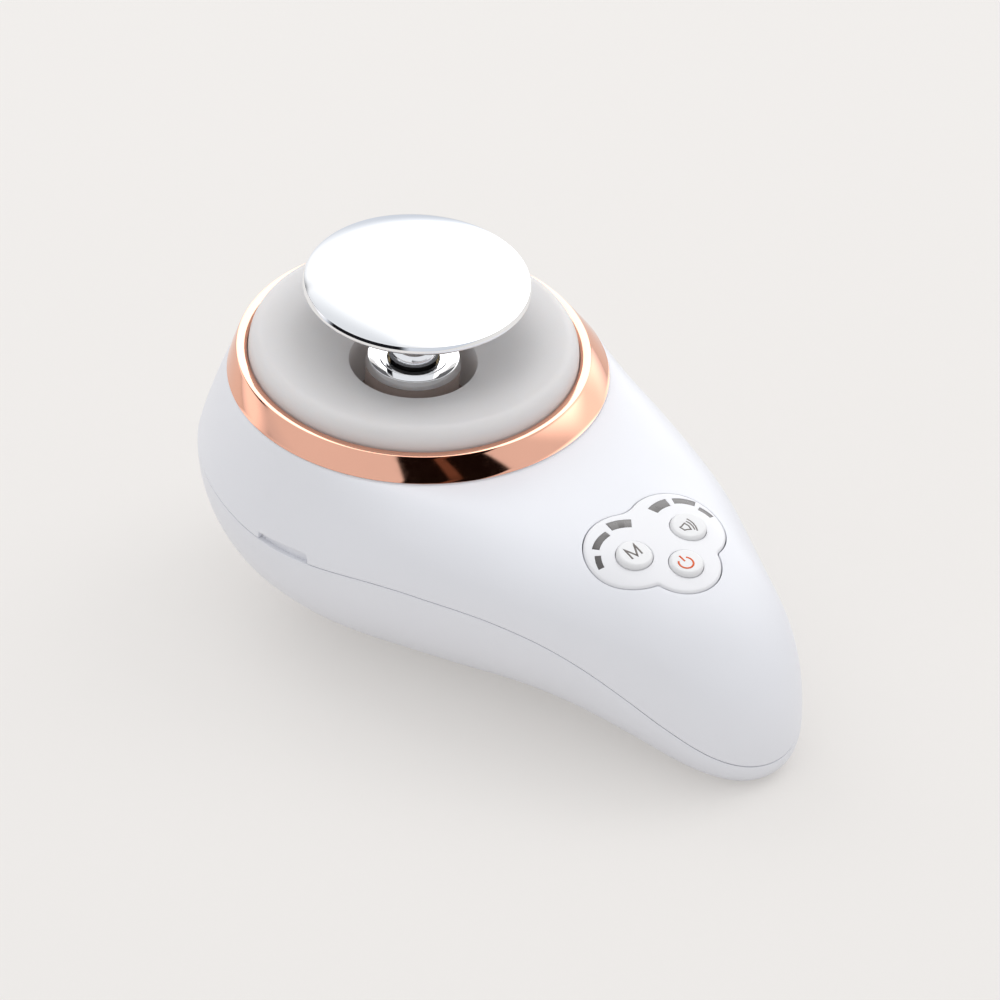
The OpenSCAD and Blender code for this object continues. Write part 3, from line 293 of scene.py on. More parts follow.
def finish_mesh(name, verts, faces, material, body, stands_for=(), sharp=35):
    """A clean mesh object that rides on a body; edges bent by more than sharp degrees stay crisp."""
    mesh = bpy.data.meshes.new(name)
    mesh.from_pydata([tuple(p) for p in to_part(verts)], [], faces)
    bm = bmesh.new()
    bm.from_mesh(mesh)
    bmesh.ops.remove_doubles(bm, verts=bm.verts, dist=1e-6)
    bmesh.ops.dissolve_degenerate(bm, edges=bm.edges, dist=1e-8)
    bmesh.ops.recalc_face_normals(bm, faces=bm.faces)
    for f in bm.faces:
        f.smooth = True
    for e in bm.edges:
        if len(e.link_faces) == 2:
            e.smooth = e.calc_face_angle(0) < math.radians(sharp)
    bm.to_mesh(mesh)
    bm.free()
    mesh.materials.append(material)
    obj = bpy.data.objects.new(name, mesh)
    bpy.context.scene.collection.objects.link(obj)
    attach(obj, body)
    if stands_for:
        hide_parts(*stands_for)
    return obj


def inside(poly, pts):
    """Which of pts lie inside the closed polygon."""
    poly, pts = np.asarray(poly, float), np.asarray(pts, float)
    res = np.zeros(len(pts), bool)
    x, y = pts[:, 0], pts[:, 1]
    for (x0, y0), (x1, y1) in zip(poly, np.roll(poly, -1, 0)):
        if y0 != y1:
            hit = ((y0 > y) != (y1 > y)) & (x < (x1 - x0) * (y - y0) / (y1 - y0) + x0)
            res ^= hit
    return res


def triangulate(loops, extra, keep):
    """Triangles over closed 2-D loops and free points; keep(centres) picks the triangles."""
    pts, edges = [], []
    for loop in loops:
        k = len(pts)
        pts += [tuple(p) for p in loop]
        edges += [(k + j, k + (j + 1) % len(loop)) for j in range(len(loop))]
    pts += [tuple(p) for p in extra]
    v, _, faces, orig, _, _ = delaunay_2d_cdt([Vector(p) for p in pts], edges, [], 0, 1e-7)
    v = np.array([list(p) for p in v])
    f = np.array([list(t) for t in faces])
    f = f[keep(v[f].mean(1))]
    return v, [tuple(int(i) for i in t) for t in f], [o[0] if o else -1 for o in orig]


def strips(base, loops):
    """Quads between neighbouring loops of equal length, whose vertices start at base."""
    n = len(loops[0])
    return [(base + a * n + j, base + a * n + (j + 1) % n,
             base + (a + 1) * n + (j + 1) % n, base + (a + 1) * n + j)
            for a in range(len(loops) - 1) for j in range(n)]


def add_loops(verts, faces, loops):
    """Puts the loops at the end of verts and the quads between them at the end of faces."""
    faces += strips(len(verts), loops)
    verts += [tuple(p) for loop in loops for p in loop]


# ---- panel outline ----------------------------------------------------------

def arc(c, r, a0, a1, n):
    """n points on an arc about c, from the angle a0 up to a1, which is left out."""
    return [(c[0] + r * math.cos(math.radians(a0 + (a1 - a0) * k / n)),
             c[1] + r * math.sin(math.radians(a0 + (a1 - a0) * k / n))) for k in range(n)]


LOBE_X, LOBE_Y, LOBE_R = -2.25, 5.9, 9.95      # the two lobes of the upper keys
FRONT_X, FRONT_R = 5.4, 8.2                    # the lobe of the power key
BACK_BLEND, SIDE_BLEND = 6, 1.2                # hollow roundings between the lobes


def panel_outline(grow):
    """Three lobes joined by hollow roundings, grown by so much all round."""
    left, right, front = (LOBE_X, -LOBE_Y), (LOBE_X, LOBE_Y), (FRONT_X, 0.0)
    back_c = (LOBE_X - math.sqrt((LOBE_R + BACK_BLEND) ** 2 - LOBE_Y ** 2), 0.0)
    reach = FRONT_X - LOBE_X
    d = math.hypot(reach, LOBE_Y)
    far, near = LOBE_R + SIDE_BLEND, FRONT_R + SIDE_BLEND
    k = (far ** 2 - near ** 2 + d * d) / (2 * d)
    h = math.sqrt(far ** 2 - k * k)
    side = (right[0] + reach / d * k + LOBE_Y / d * h, right[1] - LOBE_Y / d * k + reach / d * h)

    def ang(a, b):
        return math.degrees(math.atan2(b[1] - a[1], b[0] - a[0]))

    tf, tr, tb = ang(front, side), ang(right, side), ang(right, back_c) % 360
    sf, sr, bf = ang(side, front) % 360, ang(side, right) % 360, ang(back_c, right)
    rs, rb = max(SIDE_BLEND - grow, 0.02), BACK_BLEND - grow
    mirror = (side[0], -side[1])
    return (arc(front, FRONT_R + grow, -tf, tf, 56) + arc(side, rs, sf, sr, 10)
            + arc(right, LOBE_R + grow, tr, tb, 84) + arc(back_c, rb, bf, -bf, 16)
            + arc(left, LOBE_R + grow, 360 - tb, 360 - tr, 84) + arc(mirror, rs, 360 - sr, 360 - sf, 10))


def arc_window(spec, side, grow):
    """Outline of one arc window beside a key; side is -1 for the mode key and 1 for the level key."""
    a0, a1, r, w = spec
    spare = math.degrees(grow / r)
    n = 14
    turns = [math.radians(a0 - spare + (a1 - a0 + 2 * spare) * k / n) for k in range(n + 1)]
    outer, inner = r + w / 2 + grow, r - w / 2 - grow
    pts = [(outer * math.cos(a), outer * math.sin(a)) for a in turns]
    pts += [(inner * math.cos(a), inner * math.sin(a)) for a in reversed(turns)]
    c = BUTTONS["level"] if side > 0 else BUTTONS["mode"]
    pts = [(c[0] + x, c[1] + side * y) for x, y in pts]
    return pts if side > 0 else pts[::-1]


# ---- materials --------------------------------------------------------------

def srgb(*colour):
    """A colour of three 0-255 numbers as the linear one that the shaders take."""
    return (*[c / 12.92 if c <= 0.04045 else ((c + 0.055) / 1.055) ** 2.4 for c in np.array(colour) / 255], 1)


def plastic(name, colour, rough=0.45, metal=0.0, coat=0.0, grain=900, bump=0.02, shade=0.03, spread=0.06,
            blotch=35, coat_rough=0.1, subsurface=0.0, brushed=None):
    """A moulded or metal finish: soft blotches in colour, fine grain in height and roughness."""
    m = bpy.data.materials.new(name)
    m.use_nodes = True
    nt = m.node_tree
    n, link = nt.nodes, nt.links
    b = n["Principled BSDF"]
    b.inputs["Metallic"].default_value = metal
    b.inputs["IOR"].default_value = 1.46
    b.inputs["Coat Weight"].default_value = coat
    b.inputs["Coat Roughness"].default_value = coat_rough
    if subsurface:
        b.inputs["Subsurface Weight"].default_value = subsurface
        b.inputs["Subsurface Radius"].default_value = (1, 0.85, 0.75)
        b.inputs["Subsurface Scale"].default_value = 0.004
    tc = n.new("ShaderNodeTexCoord")
    where = tc.outputs["Object"]
    if brushed:
        mp = n.new("ShaderNodeMapping")
        mp.inputs["Scale"].default_value = brushed
        link.new(where, mp.inputs["Vector"])
        where = mp.outputs["Vector"]
    big = n.new("ShaderNodeTexNoise")
    big.inputs["Scale"].default_value = blotch
    big.inputs["Detail"].default_value = 3
    link.new(where, big.inputs["Vector"])
    small = n.new("ShaderNodeTexNoise")
    small.inputs["Scale"].default_value = grain
    small.inputs["Detail"].default_value = 4
    link.new(where, small.inputs["Vector"])
    ramp = n.new("ShaderNodeValToRGB")
    c = np.array(colour[:3])
    ramp.color_ramp.elements[0].position = 0.3
    ramp.color_ramp.elements[1].position = 0.7
    ramp.color_ramp.elements[0].color = (*(c * (1 - shade)), 1)
    ramp.color_ramp.elements[1].color = (*np.minimum(c * (1 + shade), 1), 1)
    link.new(big.outputs["Fac"], ramp.inputs["Fac"])
    link.new(ramp.outputs["Color"], b.inputs["Base Color"])
    mr = n.new("ShaderNodeMapRange")
    mr.inputs["From Min"].default_value = 0.3
    mr.inputs["From Max"].default_value = 0.7
    mr.inputs["To Min"].default_value = max(rough - spread, 0.01)
    mr.inputs["To Max"].default_value = rough + spread
    link.new(small.outputs["Fac"], mr.inputs["Value"])
    link.new(mr.outputs["Result"], b.inputs["Roughness"])
    bp = n.new("ShaderNodeBump")
    bp.inputs["Strength"].default_value = bump
    bp.inputs["Distance"].default_value = 0.0002
    link.new(small.outputs["Fac"], bp.inputs["Height"])
    link.new(bp.outputs["Normal"], b.inputs["Normal"])
    return m


SHELL = plastic("shell_white", srgb(231, 232, 237), rough=0.42, grain=2600, bump=0.05, shade=0.012,
                spread=0.05, coat=0.12, coat_rough=0.3)
PANEL = plastic("panel_white", srgb(233, 233, 236), rough=0.38, grain=2200, bump=0.03, shade=0.012, coat=0.15,
                coat_rough=0.2)
KEY = plastic("key_white", srgb(230, 230, 231), rough=0.4, grain=2400, bump=0.03, shade=0.01, coat=0.2,
              coat_rough=0.25)
COPPER = plastic("rose_copper", (0.84, 0.45, 0.325, 1), rough=0.07, metal=1, grain=700, bump=0.004,
                 shade=0.03, spread=0.02, blotch=60)
CHROME = plastic("bright_chrome", (0.92, 0.925, 0.935, 1), rough=0.035, metal=1, grain=600, bump=0.003,
                 shade=0.01, spread=0.015, blotch=50)
FROST = plastic("frosted_diffuser", srgb(215, 213, 213), rough=0.55, grain=3000, bump=0.06, shade=0.015,
                subsurface=0.5, coat=0.08, coat_rough=0.4)
BLACK = plastic("black_plastic", srgb(26, 24, 24), rough=0.35, grain=1500, bump=0.05, shade=0.15)
WELL = plastic("well_brown", srgb(168, 152, 145), rough=0.4, grain=1500, bump=0.05, shade=0.08)
GREY = plastic("chassis_grey", srgb(120, 121, 124), rough=0.5, grain=1500, bump=0.06, shade=0.06)
BOBBIN = plastic("bobbin_nylon", srgb(196, 186, 150), rough=0.5, grain=1200, bump=0.05, shade=0.05)
BRASS = plastic("bush_brass", (0.30, 0.23, 0.13, 1), rough=0.22, metal=1, grain=900, bump=0.02, shade=0.08,
                brushed=(1, 1, 8))
STEEL = plastic("screw_steel", (0.62, 0.62, 0.64, 1), rough=0.28, metal=1, grain=900, bump=0.03, shade=0.08)
YOKE = plastic("yoke_steel", (0.42, 0.43, 0.46, 1), rough=0.36, metal=1, grain=800, bump=0.04, shade=0.1)
WIRE = plastic("copper_wire", (0.72, 0.34, 0.18, 1), rough=0.3, metal=1, grain=1800, bump=0.15, shade=0.12,
               brushed=(0.3, 0.3, 6))
GREEN = plastic("board_green", srgb(38, 96, 62), rough=0.35, grain=800, bump=0.05, shade=0.15, coat=0.4)
IVORY = plastic("board_white", srgb(232, 230, 220), rough=0.4, grain=900, bump=0.04, shade=0.03, coat=0.2)
WINDOW = plastic("smoked_window", srgb(84, 81, 80), rough=0.32, grain=1600, bump=0.02, shade=0.08, blotch=220,
                 coat=0.2, coat_rough=0.15)
LENS = plastic("light_lens", srgb(236, 226, 170), rough=0.2, grain=900, bump=0.02, shade=0.08, coat=0.5)
WRAP = plastic("cell_wrap", srgb(70, 150, 110), rough=0.3, grain=900, bump=0.03, shade=0.08, coat=0.3)
FERRITE = plastic("ferrite_black", srgb(44, 42, 42), rough=0.65, grain=1400, bump=0.12, shade=0.2)
INK = plastic("mark_grey", srgb(112, 106, 102), rough=0.5, grain=2600, bump=0.02, shade=0.12, blotch=900)
INK_RED = plastic("mark_red", srgb(216, 92, 30), rough=0.5, grain=2600, bump=0.02, shade=0.08, blotch=900)

# The diffuser has a faint emission, a painted glow that lifts its shade near the well and under the disc
diffuser_painted_glow = FROST.node_tree.nodes["Principled BSDF"]
diffuser_painted_glow.inputs["Emission Color"].default_value = (1, 0.94, 0.91, 1)
diffuser_painted_glow.inputs["Emission Strength"].default_value = 0.035

NODE_LOOK = {
    "light_board": IVORY, "ring_lights": LENS, "head_chassis": GREY, "chassis_screws": STEEL,
    "well_insert": WELL, "guide_bush": BRASS, "disc_base": GREY, "magnet_yoke": YOKE, "yoke_screws": STEEL,
    "drive_magnet": STEEL, "pole_plate": YOKE, "coil_bobbin": BOBBIN, "drive_coil": WIRE,
    "control_board": GREEN, "board_screws": STEEL, "tact_switches": BLACK, "indicator_lamps": LENS,
    "battery_cell": WRAP, "cell_tabs": STEEL, "charging_coil": WIRE, "ferrite_sheet": FERRITE,
    "driver_board": GREEN, "driver_screws": STEEL, "bearing_sleeve": BLACK,
}
for name, look in NODE_LOOK.items():
    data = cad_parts[name].data
    data.materials.clear()
    data.materials.append(look)

# ---- shells -----------------------------------------------------------------

upper = ring_of_columns(lambda st: upper_column(st, 0.0), lambda st: upper_column(st, notch_lift(st)))
lower = ring_of_columns(lower_column, lower_column)
count, length = upper.shape[:2]
OUT0, OUT1 = 3, 3 + COLUMN_STEPS       # the outside's first and last row in a column
IN0 = OUT1 + len(ARC) + 2              # the inside's first row

# Height of the outside over the panel's plane, by rays on the full surface
surface_faces = [(i * length + j, ((i + 1) % count) * length + j,
                  ((i + 1) % count) * length + j + 1, i * length + j + 1)
                 for i in range(count) for j in range(OUT0, OUT1)]
flat_upper = upper.reshape(-1, 3)
TREE = BVHTree.FromPolygons([tuple(p) for p in flat_upper], surface_faces)
DOWN = Vector(panel_point(0, 0, -1) - panel_point(0, 0, 0))


def crown(u, v, raised=0.0, drop=0.0):
    """Point of the crown at panel coordinates (u, v), on its surface raised in z, then lowered by drop."""
    start = panel_point(u, v, 12.0) - np.array([0, 0, raised])
    hit = TREE.ray_cast(Vector(start), DOWN)[0]
    return np.array(hit) + np.array([0, 0, raised]) + np.array(DOWN) * drop


verts = [tuple(p) for p in flat_upper]
uvw = panel_uvw(upper)
hole_out = panel_outline(1.2)
hole_in = panel_outline(1.0)
NEAR_W, NEAR_UV = 9, 20     # only quads this near the panel are tested
faces, cut = [], []
for i in range(count):
    k = (i + 1) % count
    for j in range(length):
        jj = (j + 1) % length
        quad = (i * length + j, k * length + j, k * length + jj, i * length + jj)
        corner = np.array([uvw[i, j], uvw[k, j], uvw[k, jj], uvw[i, jj]])
        if abs(corner[:, 2]).max() < NEAR_W and np.hypot(*corner[:, :2].mean(0)) < NEAR_UV:
            mid = corner[:, :2].mean(0)[None]
            if OUT0 <= j < OUT1 and inside(hole_out, mid)[0]:
                cut.append(quad)
                continue
            if j >= IN0 and j < length - 2 and inside(hole_in, mid)[0]:
                continue
        faces.append(quad)
# Ordered rim of the quads that were left out
edge_of = {}
for q in cut:
    for a, b in zip(q, q[1:] + q[:1]):
        if (b, a) in edge_of:
            del edge_of[(b, a)]
        else:
            edge_of[(a, b)] = 1
after = {a: b for a, b in edge_of}
start = next(iter(after))
rim_loop = [start]
while after[rim_loop[-1]] != start:
    rim_loop.append(after[rim_loop[-1]])
rim_uv = [tuple(panel_uvw(np.array(verts[k]))[:2]) for k in rim_loop]
EDGE, LEDGE_T, LEDGE_IN, POCKET_OUT, POCKET_TOP = 0.2, 1.2, 1.0, 1.15, 2.3
lip = panel_outline(PANEL_GAP + EDGE)
v2, tri, orig = triangulate([rim_uv, lip], [], lambda c: inside(rim_uv, c) & ~inside(lip, c))
spot = {}
for k, (p, o) in enumerate(zip(v2, orig)):
    if 0 <= o < len(rim_loop):
        spot[k] = rim_loop[o]
    else:
        spot[k] = len(verts)
        verts.append(tuple(crown(p[0], p[1])))
faces += [tuple(spot[k] for k in t) for t in tri]
loops = [[crown(*p) for p in lip]]
for a in ARC:
    g = PANEL_GAP + EDGE * (1 - math.sin(a))
    loops.append([crown(*p, 0, EDGE * (1 - math.cos(a))) for p in panel_outline(g)])
for g, w in ((PANEL_GAP, -PANEL_DEPTH), (-LEDGE_IN, -PANEL_DEPTH), (-LEDGE_IN, -PANEL_DEPTH - LEDGE_T),
             (POCKET_OUT, -PANEL_DEPTH - LEDGE_T)):
    loops.append([panel_point(p[0], p[1], w) for p in panel_outline(g)])
loops.append([crown(*p, 0, POCKET_TOP) for p in panel_outline(POCKET_OUT)])
add_loops(verts, faces, loops)
finish_mesh("shell_upper", verts, faces, SHELL, "housing", ["upper_housing"])

flat_lower = lower.reshape(-1, 3)
count_l, length_l = lower.shape[:2]
faces = [(i * length_l + j, ((i + 1) % count_l) * length_l + j, ((i + 1) % count_l) * length_l + j + 1,
          i * length_l + j + 1) for i in range(count_l) for j in range(length_l - 1)]
finish_mesh("shell_lower", flat_lower, faces, SHELL, "housing", ["lower_housing"])

# ---- button panel -----------------------------------------------------------

ROUND, SKIRT_T = 0.5, 1.4
KEY_GAP, KEY_HOLE_EDGE, WINDOW_GAP, WINDOW_DEPTH = 0.12, 0.12, 0.03, 1.2
GRID, GRID_EDGE, GRID_CLEAR = 0.45, 0.25, 0.22
skin = panel_outline(-ROUND)
key_rims = {k: arc((b[0], b[1]), b[2] + KEY_GAP + KEY_HOLE_EDGE, 0, 360, 72) for k, b in BUTTONS.items()}
windows = [arc_window(a, side, WINDOW_GAP) for side, arcs in ((-1, MODE_ARCS), (1, LEVEL_ARCS)) for a in arcs]
holes = list(key_rims.values()) + windows
grid = np.array([(x, y) for x in np.arange(-14, 15, GRID) for y in np.arange(-17, 17, GRID)])
ok = inside(panel_outline(-ROUND - GRID_EDGE), grid)
for h in holes:
    ok &= ~inside(h, grid)
    ok &= np.min(np.linalg.norm(grid[:, None] - np.array(h)[None], axis=2), 1) > GRID_CLEAR


def panel_keep(c):
    """Which points lie on the panel and in none of its holes."""
    good = inside(skin, c)
    for h in holes:
        good &= ~inside(h, c)
    return good


v2, tri, _ = triangulate([skin] + holes, grid[ok], panel_keep)
verts = [tuple(crown(p[0], p[1], PANEL_PROUD)) for p in v2]
faces = list(tri)
loops = [[crown(*p, PANEL_PROUD) for p in skin]]
for a in [math.radians(x) for x in (12, 24, 36, 48, 60, 72, 84, 90)]:
    g = -ROUND * (1 - math.sin(a))
    loops.append([crown(*p, PANEL_PROUD, ROUND * (1 - math.cos(a))) for p in panel_outline(g)])
for g, w in ((0, -PANEL_DEPTH), (-SKIRT_T, -PANEL_DEPTH), (-SKIRT_T, -PANEL_ROOF)):
    loops.append([panel_point(p[0], p[1], w) for p in panel_outline(g)])
add_loops(verts, faces, loops)
for k, b in BUTTONS.items():
    loops = [[crown(*p, PANEL_PROUD) for p in key_rims[k]]]
    for g, d in ((KEY_GAP + 0.04, 0.04), (KEY_GAP, KEY_HOLE_EDGE)):
        loops.append([crown(*p, PANEL_PROUD, d) for p in arc((b[0], b[1]), b[2] + g, 0, 360, 72)])
    loops.append([panel_point(p[0], p[1], -PANEL_ROOF)
                  for p in arc((b[0], b[1]), b[2] + KEY_GAP, 0, 360, 72)])
    add_loops(verts, faces, loops)
for w in windows:
    add_loops(verts, faces, [[crown(*p, PANEL_PROUD, d) for p in w] for d in (0, WINDOW_DEPTH)])
finish_mesh("panel_skin", verts, faces, PANEL, "housing", ["control_panel"], sharp=50)

LENS_ROUND, LENS_LOW, LENS_SIDE, LENS_DEPTH = 0.06, 0.01, 0.05, 1.5
for side, arcs, node in ((-1, MODE_ARCS, "mode_windows"), (1, LEVEL_ARCS, "level_windows")):
    verts, faces = [], []
    for spec in arcs:
        out = arc_window(spec, side, 0.0)
        inn = arc_window(spec, side, -LENS_ROUND)
        v2, tri, _ = triangulate([inn], [], lambda c: inside(inn, c))
        base = len(verts)
        verts += [tuple(crown(p[0], p[1], PANEL_PROUD, LENS_LOW)) for p in v2]
        faces += [tuple(base + k for k in t) for t in tri]
        add_loops(verts, faces, [[crown(*p, PANEL_PROUD, d) for p in line]
                                 for line, d in ((inn, LENS_LOW), (out, LENS_SIDE), (out, LENS_DEPTH))])
    finish_mesh(node.replace("windows", "lenses"), verts, faces, WINDOW, "housing", [node])


# ---- turned pieces ----------------------------------------------------------

def turned_faces(turns, n, closed=True):
    """Quads round a turned piece whose profile has n points."""
    return [(i * n + j, ((i + 1) % turns) * n + j, ((i + 1) % turns) * n + (j + 1) % n, i * n + (j + 1) % n)
            for i in range(turns) for j in range(n if closed else n - 1)]


def lathe(name, profile, material, body, stands_for, place=head_point, centre=(0, 0), turns=192,
          sharp=35, closed=True):
    """Piece turned about the head axis, or about a panel normal, from (radius, height) points."""
    prof = [(max(r, 0.0), z) for r, z in profile]
    verts = [place(centre[0] + r * math.cos(2 * math.pi * i / turns),
                   centre[1] + r * math.sin(2 * math.pi * i / turns), z)
             for i in range(turns) for r, z in prof]
    finish_mesh(name, verts, turned_faces(turns, len(prof), closed), material, body, stands_for, sharp)


def bend(a, b, c, r, n=6):
    """Points that round the corner b of the path a-b-c with radius r."""
    a, b, c = (np.array(p, float) for p in (a, b, c))
    d0, d1 = (a - b) / np.linalg.norm(a - b), (c - b) / np.linalg.norm(c - b)
    half = math.acos(np.clip(d0 @ d1, -1, 1)) / 2
    reach = min(r / math.tan(half), 0.49 * np.linalg.norm(a - b), 0.49 * np.linalg.norm(c - b))
    r = reach * math.tan(half)
    mid = b + (d0 + d1) / np.linalg.norm(d0 + d1) * r / math.sin(half)
    p0, p1 = b + d0 * reach, b + d1 * reach
    a0, a1 = (math.atan2(*(p - mid)[::-1]) for p in (p0, p1))
    if a1 - a0 > math.pi:
        a1 -= 2 * math.pi
    if a0 - a1 > math.pi:
        a1 += 2 * math.pi
    return [tuple(mid + r * np.array([math.cos(a0 + (a1 - a0) * k / n), math.sin(a0 + (a1 - a0) * k / n)]))
            for k in range(n + 1)]


def rounded(points, radii):
    """A closed profile with its corners rounded by the radii; 0 leaves a corner as it is."""
    out = []
    n = len(points)
    for k, (p, r) in enumerate(zip(points, radii)):
        out += bend(points[k - 1], p, points[(k + 1) % n], r) if r else [p]
    return out


def shoulder(cx, cy, a, b, n, steps):
    """A quarter of a superellipse of power n, of width a and height b, from its side to its top."""
    return [(cx + a * max(math.cos(math.pi / 2 * k / steps), 0) ** (2 / n),
             cy + b * math.sin(math.pi / 2 * k / steps) ** (2 / n)) for k in range(steps + 1)]


# Trim ring: a narrow crest round the diffuser and a flat flank that widens towards the grip
RING_STEPS, FLANK_STEPS, FLANK_BOW = 240, 15, 0.1
CREST_IN, CREST_R, CREST_EDGE = 33.8, 36.02, -0.12
SPIGOT_T, SPIGOT_LOW, CREST_LOW = 0.85, -8.0, -3.0
crest = rounded([(CREST_IN, CREST_LOW), (CREST_IN, -0.42), (34.35, -0.1), (35.2, 0.0), (35.98, -0.03)],
                [0, 0.12, 0.3, 0.6, 0])[1:-1]
crest += [(35.8, 0.0), (35.93, -0.03), (CREST_R, CREST_EDGE)]
verts = []
for i in range(RING_STEPS):
    a = 2 * math.pi * i / RING_STEPS
    low = ring_foot(a)
    r0, z0 = math.hypot(low[0], low[1]), low[2]
    side = []
    for k in range(1, FLANK_STEPS):
        t = k / FLANK_STEPS
        bow = FLANK_BOW * 4 * t * (1 - t)
        side.append((CREST_R + (r0 - CREST_R) * t + 0.6 * bow,
                     CREST_EDGE + (z0 - CREST_EDGE) * t + 0.8 * bow))
    side += [(r0 - 0.02, z0 + 0.1), (r0 - 0.1, z0 + 0.02), (r0 - 0.3, z0), (SPIGOT_R, z0),
             (SPIGOT_R, SPIGOT_LOW), (SPIGOT_R - SPIGOT_T, SPIGOT_LOW),
             (SPIGOT_R - SPIGOT_T, CREST_LOW), (CREST_IN, CREST_LOW)]
    for r, z in crest + side:
        b = a if r < CREST_R + 0.01 else math.atan2(low[1], low[0])
        verts.append(head_point(r * math.cos(b), r * math.sin(b), z))
finish_mesh("trim_band", verts, turned_faces(RING_STEPS, len(crest + side)), COPPER, "housing", ["trim_ring"],
            sharp=32)

# Diffuser: a rounded shoulder, a slope down to the well, the well's sleeve and a foot under the ring
DIFFUSER_R, DIFFUSER_TOP, SLOPE_RUN, SLOPE_FALL, SLOPE_POWER = 30.4, 4.1, 17.35, 6.75, 2.2
WELL_R, WELL_OUT, WELL_TOP, WELL_LOW = 13.05, 14.65, -2.65, -16.0
DIFFUSER_T, UNDER_STEPS, SLOPE_STEPS = 1.92, 8, 60


def slope_point(t, drop=0.0):
    """Point of the diffuser's slope at the share t of its run."""
    return (DIFFUSER_R - SLOPE_RUN * t, DIFFUSER_TOP - SLOPE_FALL * t ** SLOPE_POWER - drop)


slope = [slope_point(k / SLOPE_STEPS) for k in range(1, SLOPE_STEPS)]
edge = rounded([slope[-2], (WELL_R, WELL_TOP), (WELL_R, -6.0)], [0, 0.45, 0])[1:-1]
lathe("diffuser_glow", shoulder(DIFFUSER_R, -0.5, 3.15, 4.6, 2.4, 36) + slope[:-1] + edge
      + [(WELL_R, WELL_LOW), (WELL_OUT, WELL_LOW), (WELL_OUT, -5.85)]
      + [slope_point(k / UNDER_STEPS, DIFFUSER_T) for k in range(6, -1, -1)]
      + [(31.95, -0.5), (31.95, -5.0), (34.45, -5.0), (34.45, -3.15), (33.55, -3.15)],
      FROST, "housing", ["light_diffuser"], sharp=40)

lathe("collar_flange", rounded(
    [(5.3, -6.0), (8.1, -6.0), (8.1, -3.24), (9.8, -3.24), (9.8, -3.1), (9.3, -1.3), (7.2, -1.44),
     (7.0, -1.84), (6.8, -1.54), (5.3, -1.84)], [0, 0, 0, 0.08, 0.12, 0.22, 0.12, 0.05, 0.12, 0.14]),
      CHROME, "housing", ["head_collar"], sharp=30)

# Neck: a stem in the sleeve, then a post that flares out under the disc
NECK_LOW, NECK_TOP, STEM_R, POST_R, FLARE_R, FLARE_H, FLARE_STEPS = -21.3, 15.4, 3.0, 5.05, 9, 7, 24
neck = [(0, NECK_LOW), (STEM_R, NECK_LOW), (STEM_R, -1.1), (4.85, -1.1), (POST_R, -0.9)]
quarters = [math.pi / 2 * k / FLARE_STEPS for k in range(FLARE_STEPS + 1)]
flare = [(FLARE_R - (FLARE_R - POST_R) * math.cos(q), NECK_TOP - FLARE_H + FLARE_H * math.sin(q))
         for q in quarters]
lathe("neck_post", neck + flare + [(0, NECK_TOP)], CHROME, "head", ["head_neck"])

# Disc: a shallow dome with a fine crease above its rounded rim, hollow under the dome
DISC_LOW, CREASE_Z, DISC_R, DOME_R, DOME_H, DOME_STEPS = 15.2, 17.3, 23.1, 22.75, 4.2, 80
sphere = (DOME_R ** 2 + DOME_H ** 2) / (2 * DOME_H)
half_dome = math.asin(DOME_R / sphere)
leans = [half_dome * (1 - k / DOME_STEPS) for k in range(DOME_STEPS + 1)]
dome = [(sphere * math.sin(q), CREASE_Z + DOME_H - sphere * (1 - math.cos(q))) for q in leans]
rim = rounded([(20.75, DISC_LOW), (22.35, DISC_LOW), (DISC_R, DISC_LOW + 0.75), (DISC_R, CREASE_Z - 0.75),
               (22.8, CREASE_Z - 0.02), dome[2]], [0, 0.3, 0.5, 0.5, 0.12, 0])
hollow = [(0, 4.4), (10, 4.0), (19.75, 1.7), (20.75, 1.7)]
lathe("disc_face", rim[:-1] + dome[2:] + [(r, DISC_LOW + z) for r, z in hollow], CHROME, "head",
      ["treatment_disc"], sharp=40)

# The return spring, drawn at one length
SPRING_R, SPRING_WIRE, SPRING_TURNS, SPRING_FOOT, SPRING_TOP = 4.0, 0.4, 4, -16.0, -10.0
SPRING_STEPS, SPRING_SIDES, SPRING_GIVE = 36, 10, 2.15
spring_rise = SPRING_TOP - SPRING_FOOT - 2 * SPRING_WIRE
rings = SPRING_TURNS * SPRING_STEPS
verts = []
for k in range(rings + 1):
    a = 2 * math.pi * k / SPRING_STEPS
    for j in range(SPRING_SIDES):
        b = 2 * math.pi * j / SPRING_SIDES
        r = SPRING_R + SPRING_WIRE * math.cos(b)
        verts.append(head_point(r * math.cos(a), r * math.sin(a),
                                SPRING_FOOT + SPRING_WIRE * (1 + math.sin(b)) + spring_rise * k / rings))
faces = [(k * SPRING_SIDES + j, k * SPRING_SIDES + (j + 1) % SPRING_SIDES,
          (k + 1) * SPRING_SIDES + (j + 1) % SPRING_SIDES, (k + 1) * SPRING_SIDES + j)
         for k in range(rings) for j in range(SPRING_SIDES)]
faces += [tuple(range(SPRING_SIDES - 1, -1, -1)),
          tuple(rings * SPRING_SIDES + j for j in range(SPRING_SIDES))]
spring = finish_mesh("return_coil", verts, faces, STEEL, "housing", ["return_spring"])
spring_axis = to_part(head_point(0, 0, 1))[0] - to_part(head_point(0, 0, 0))[0]
to_part(head_point(0, 0, SPRING_FOOT))[0]
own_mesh(spring)

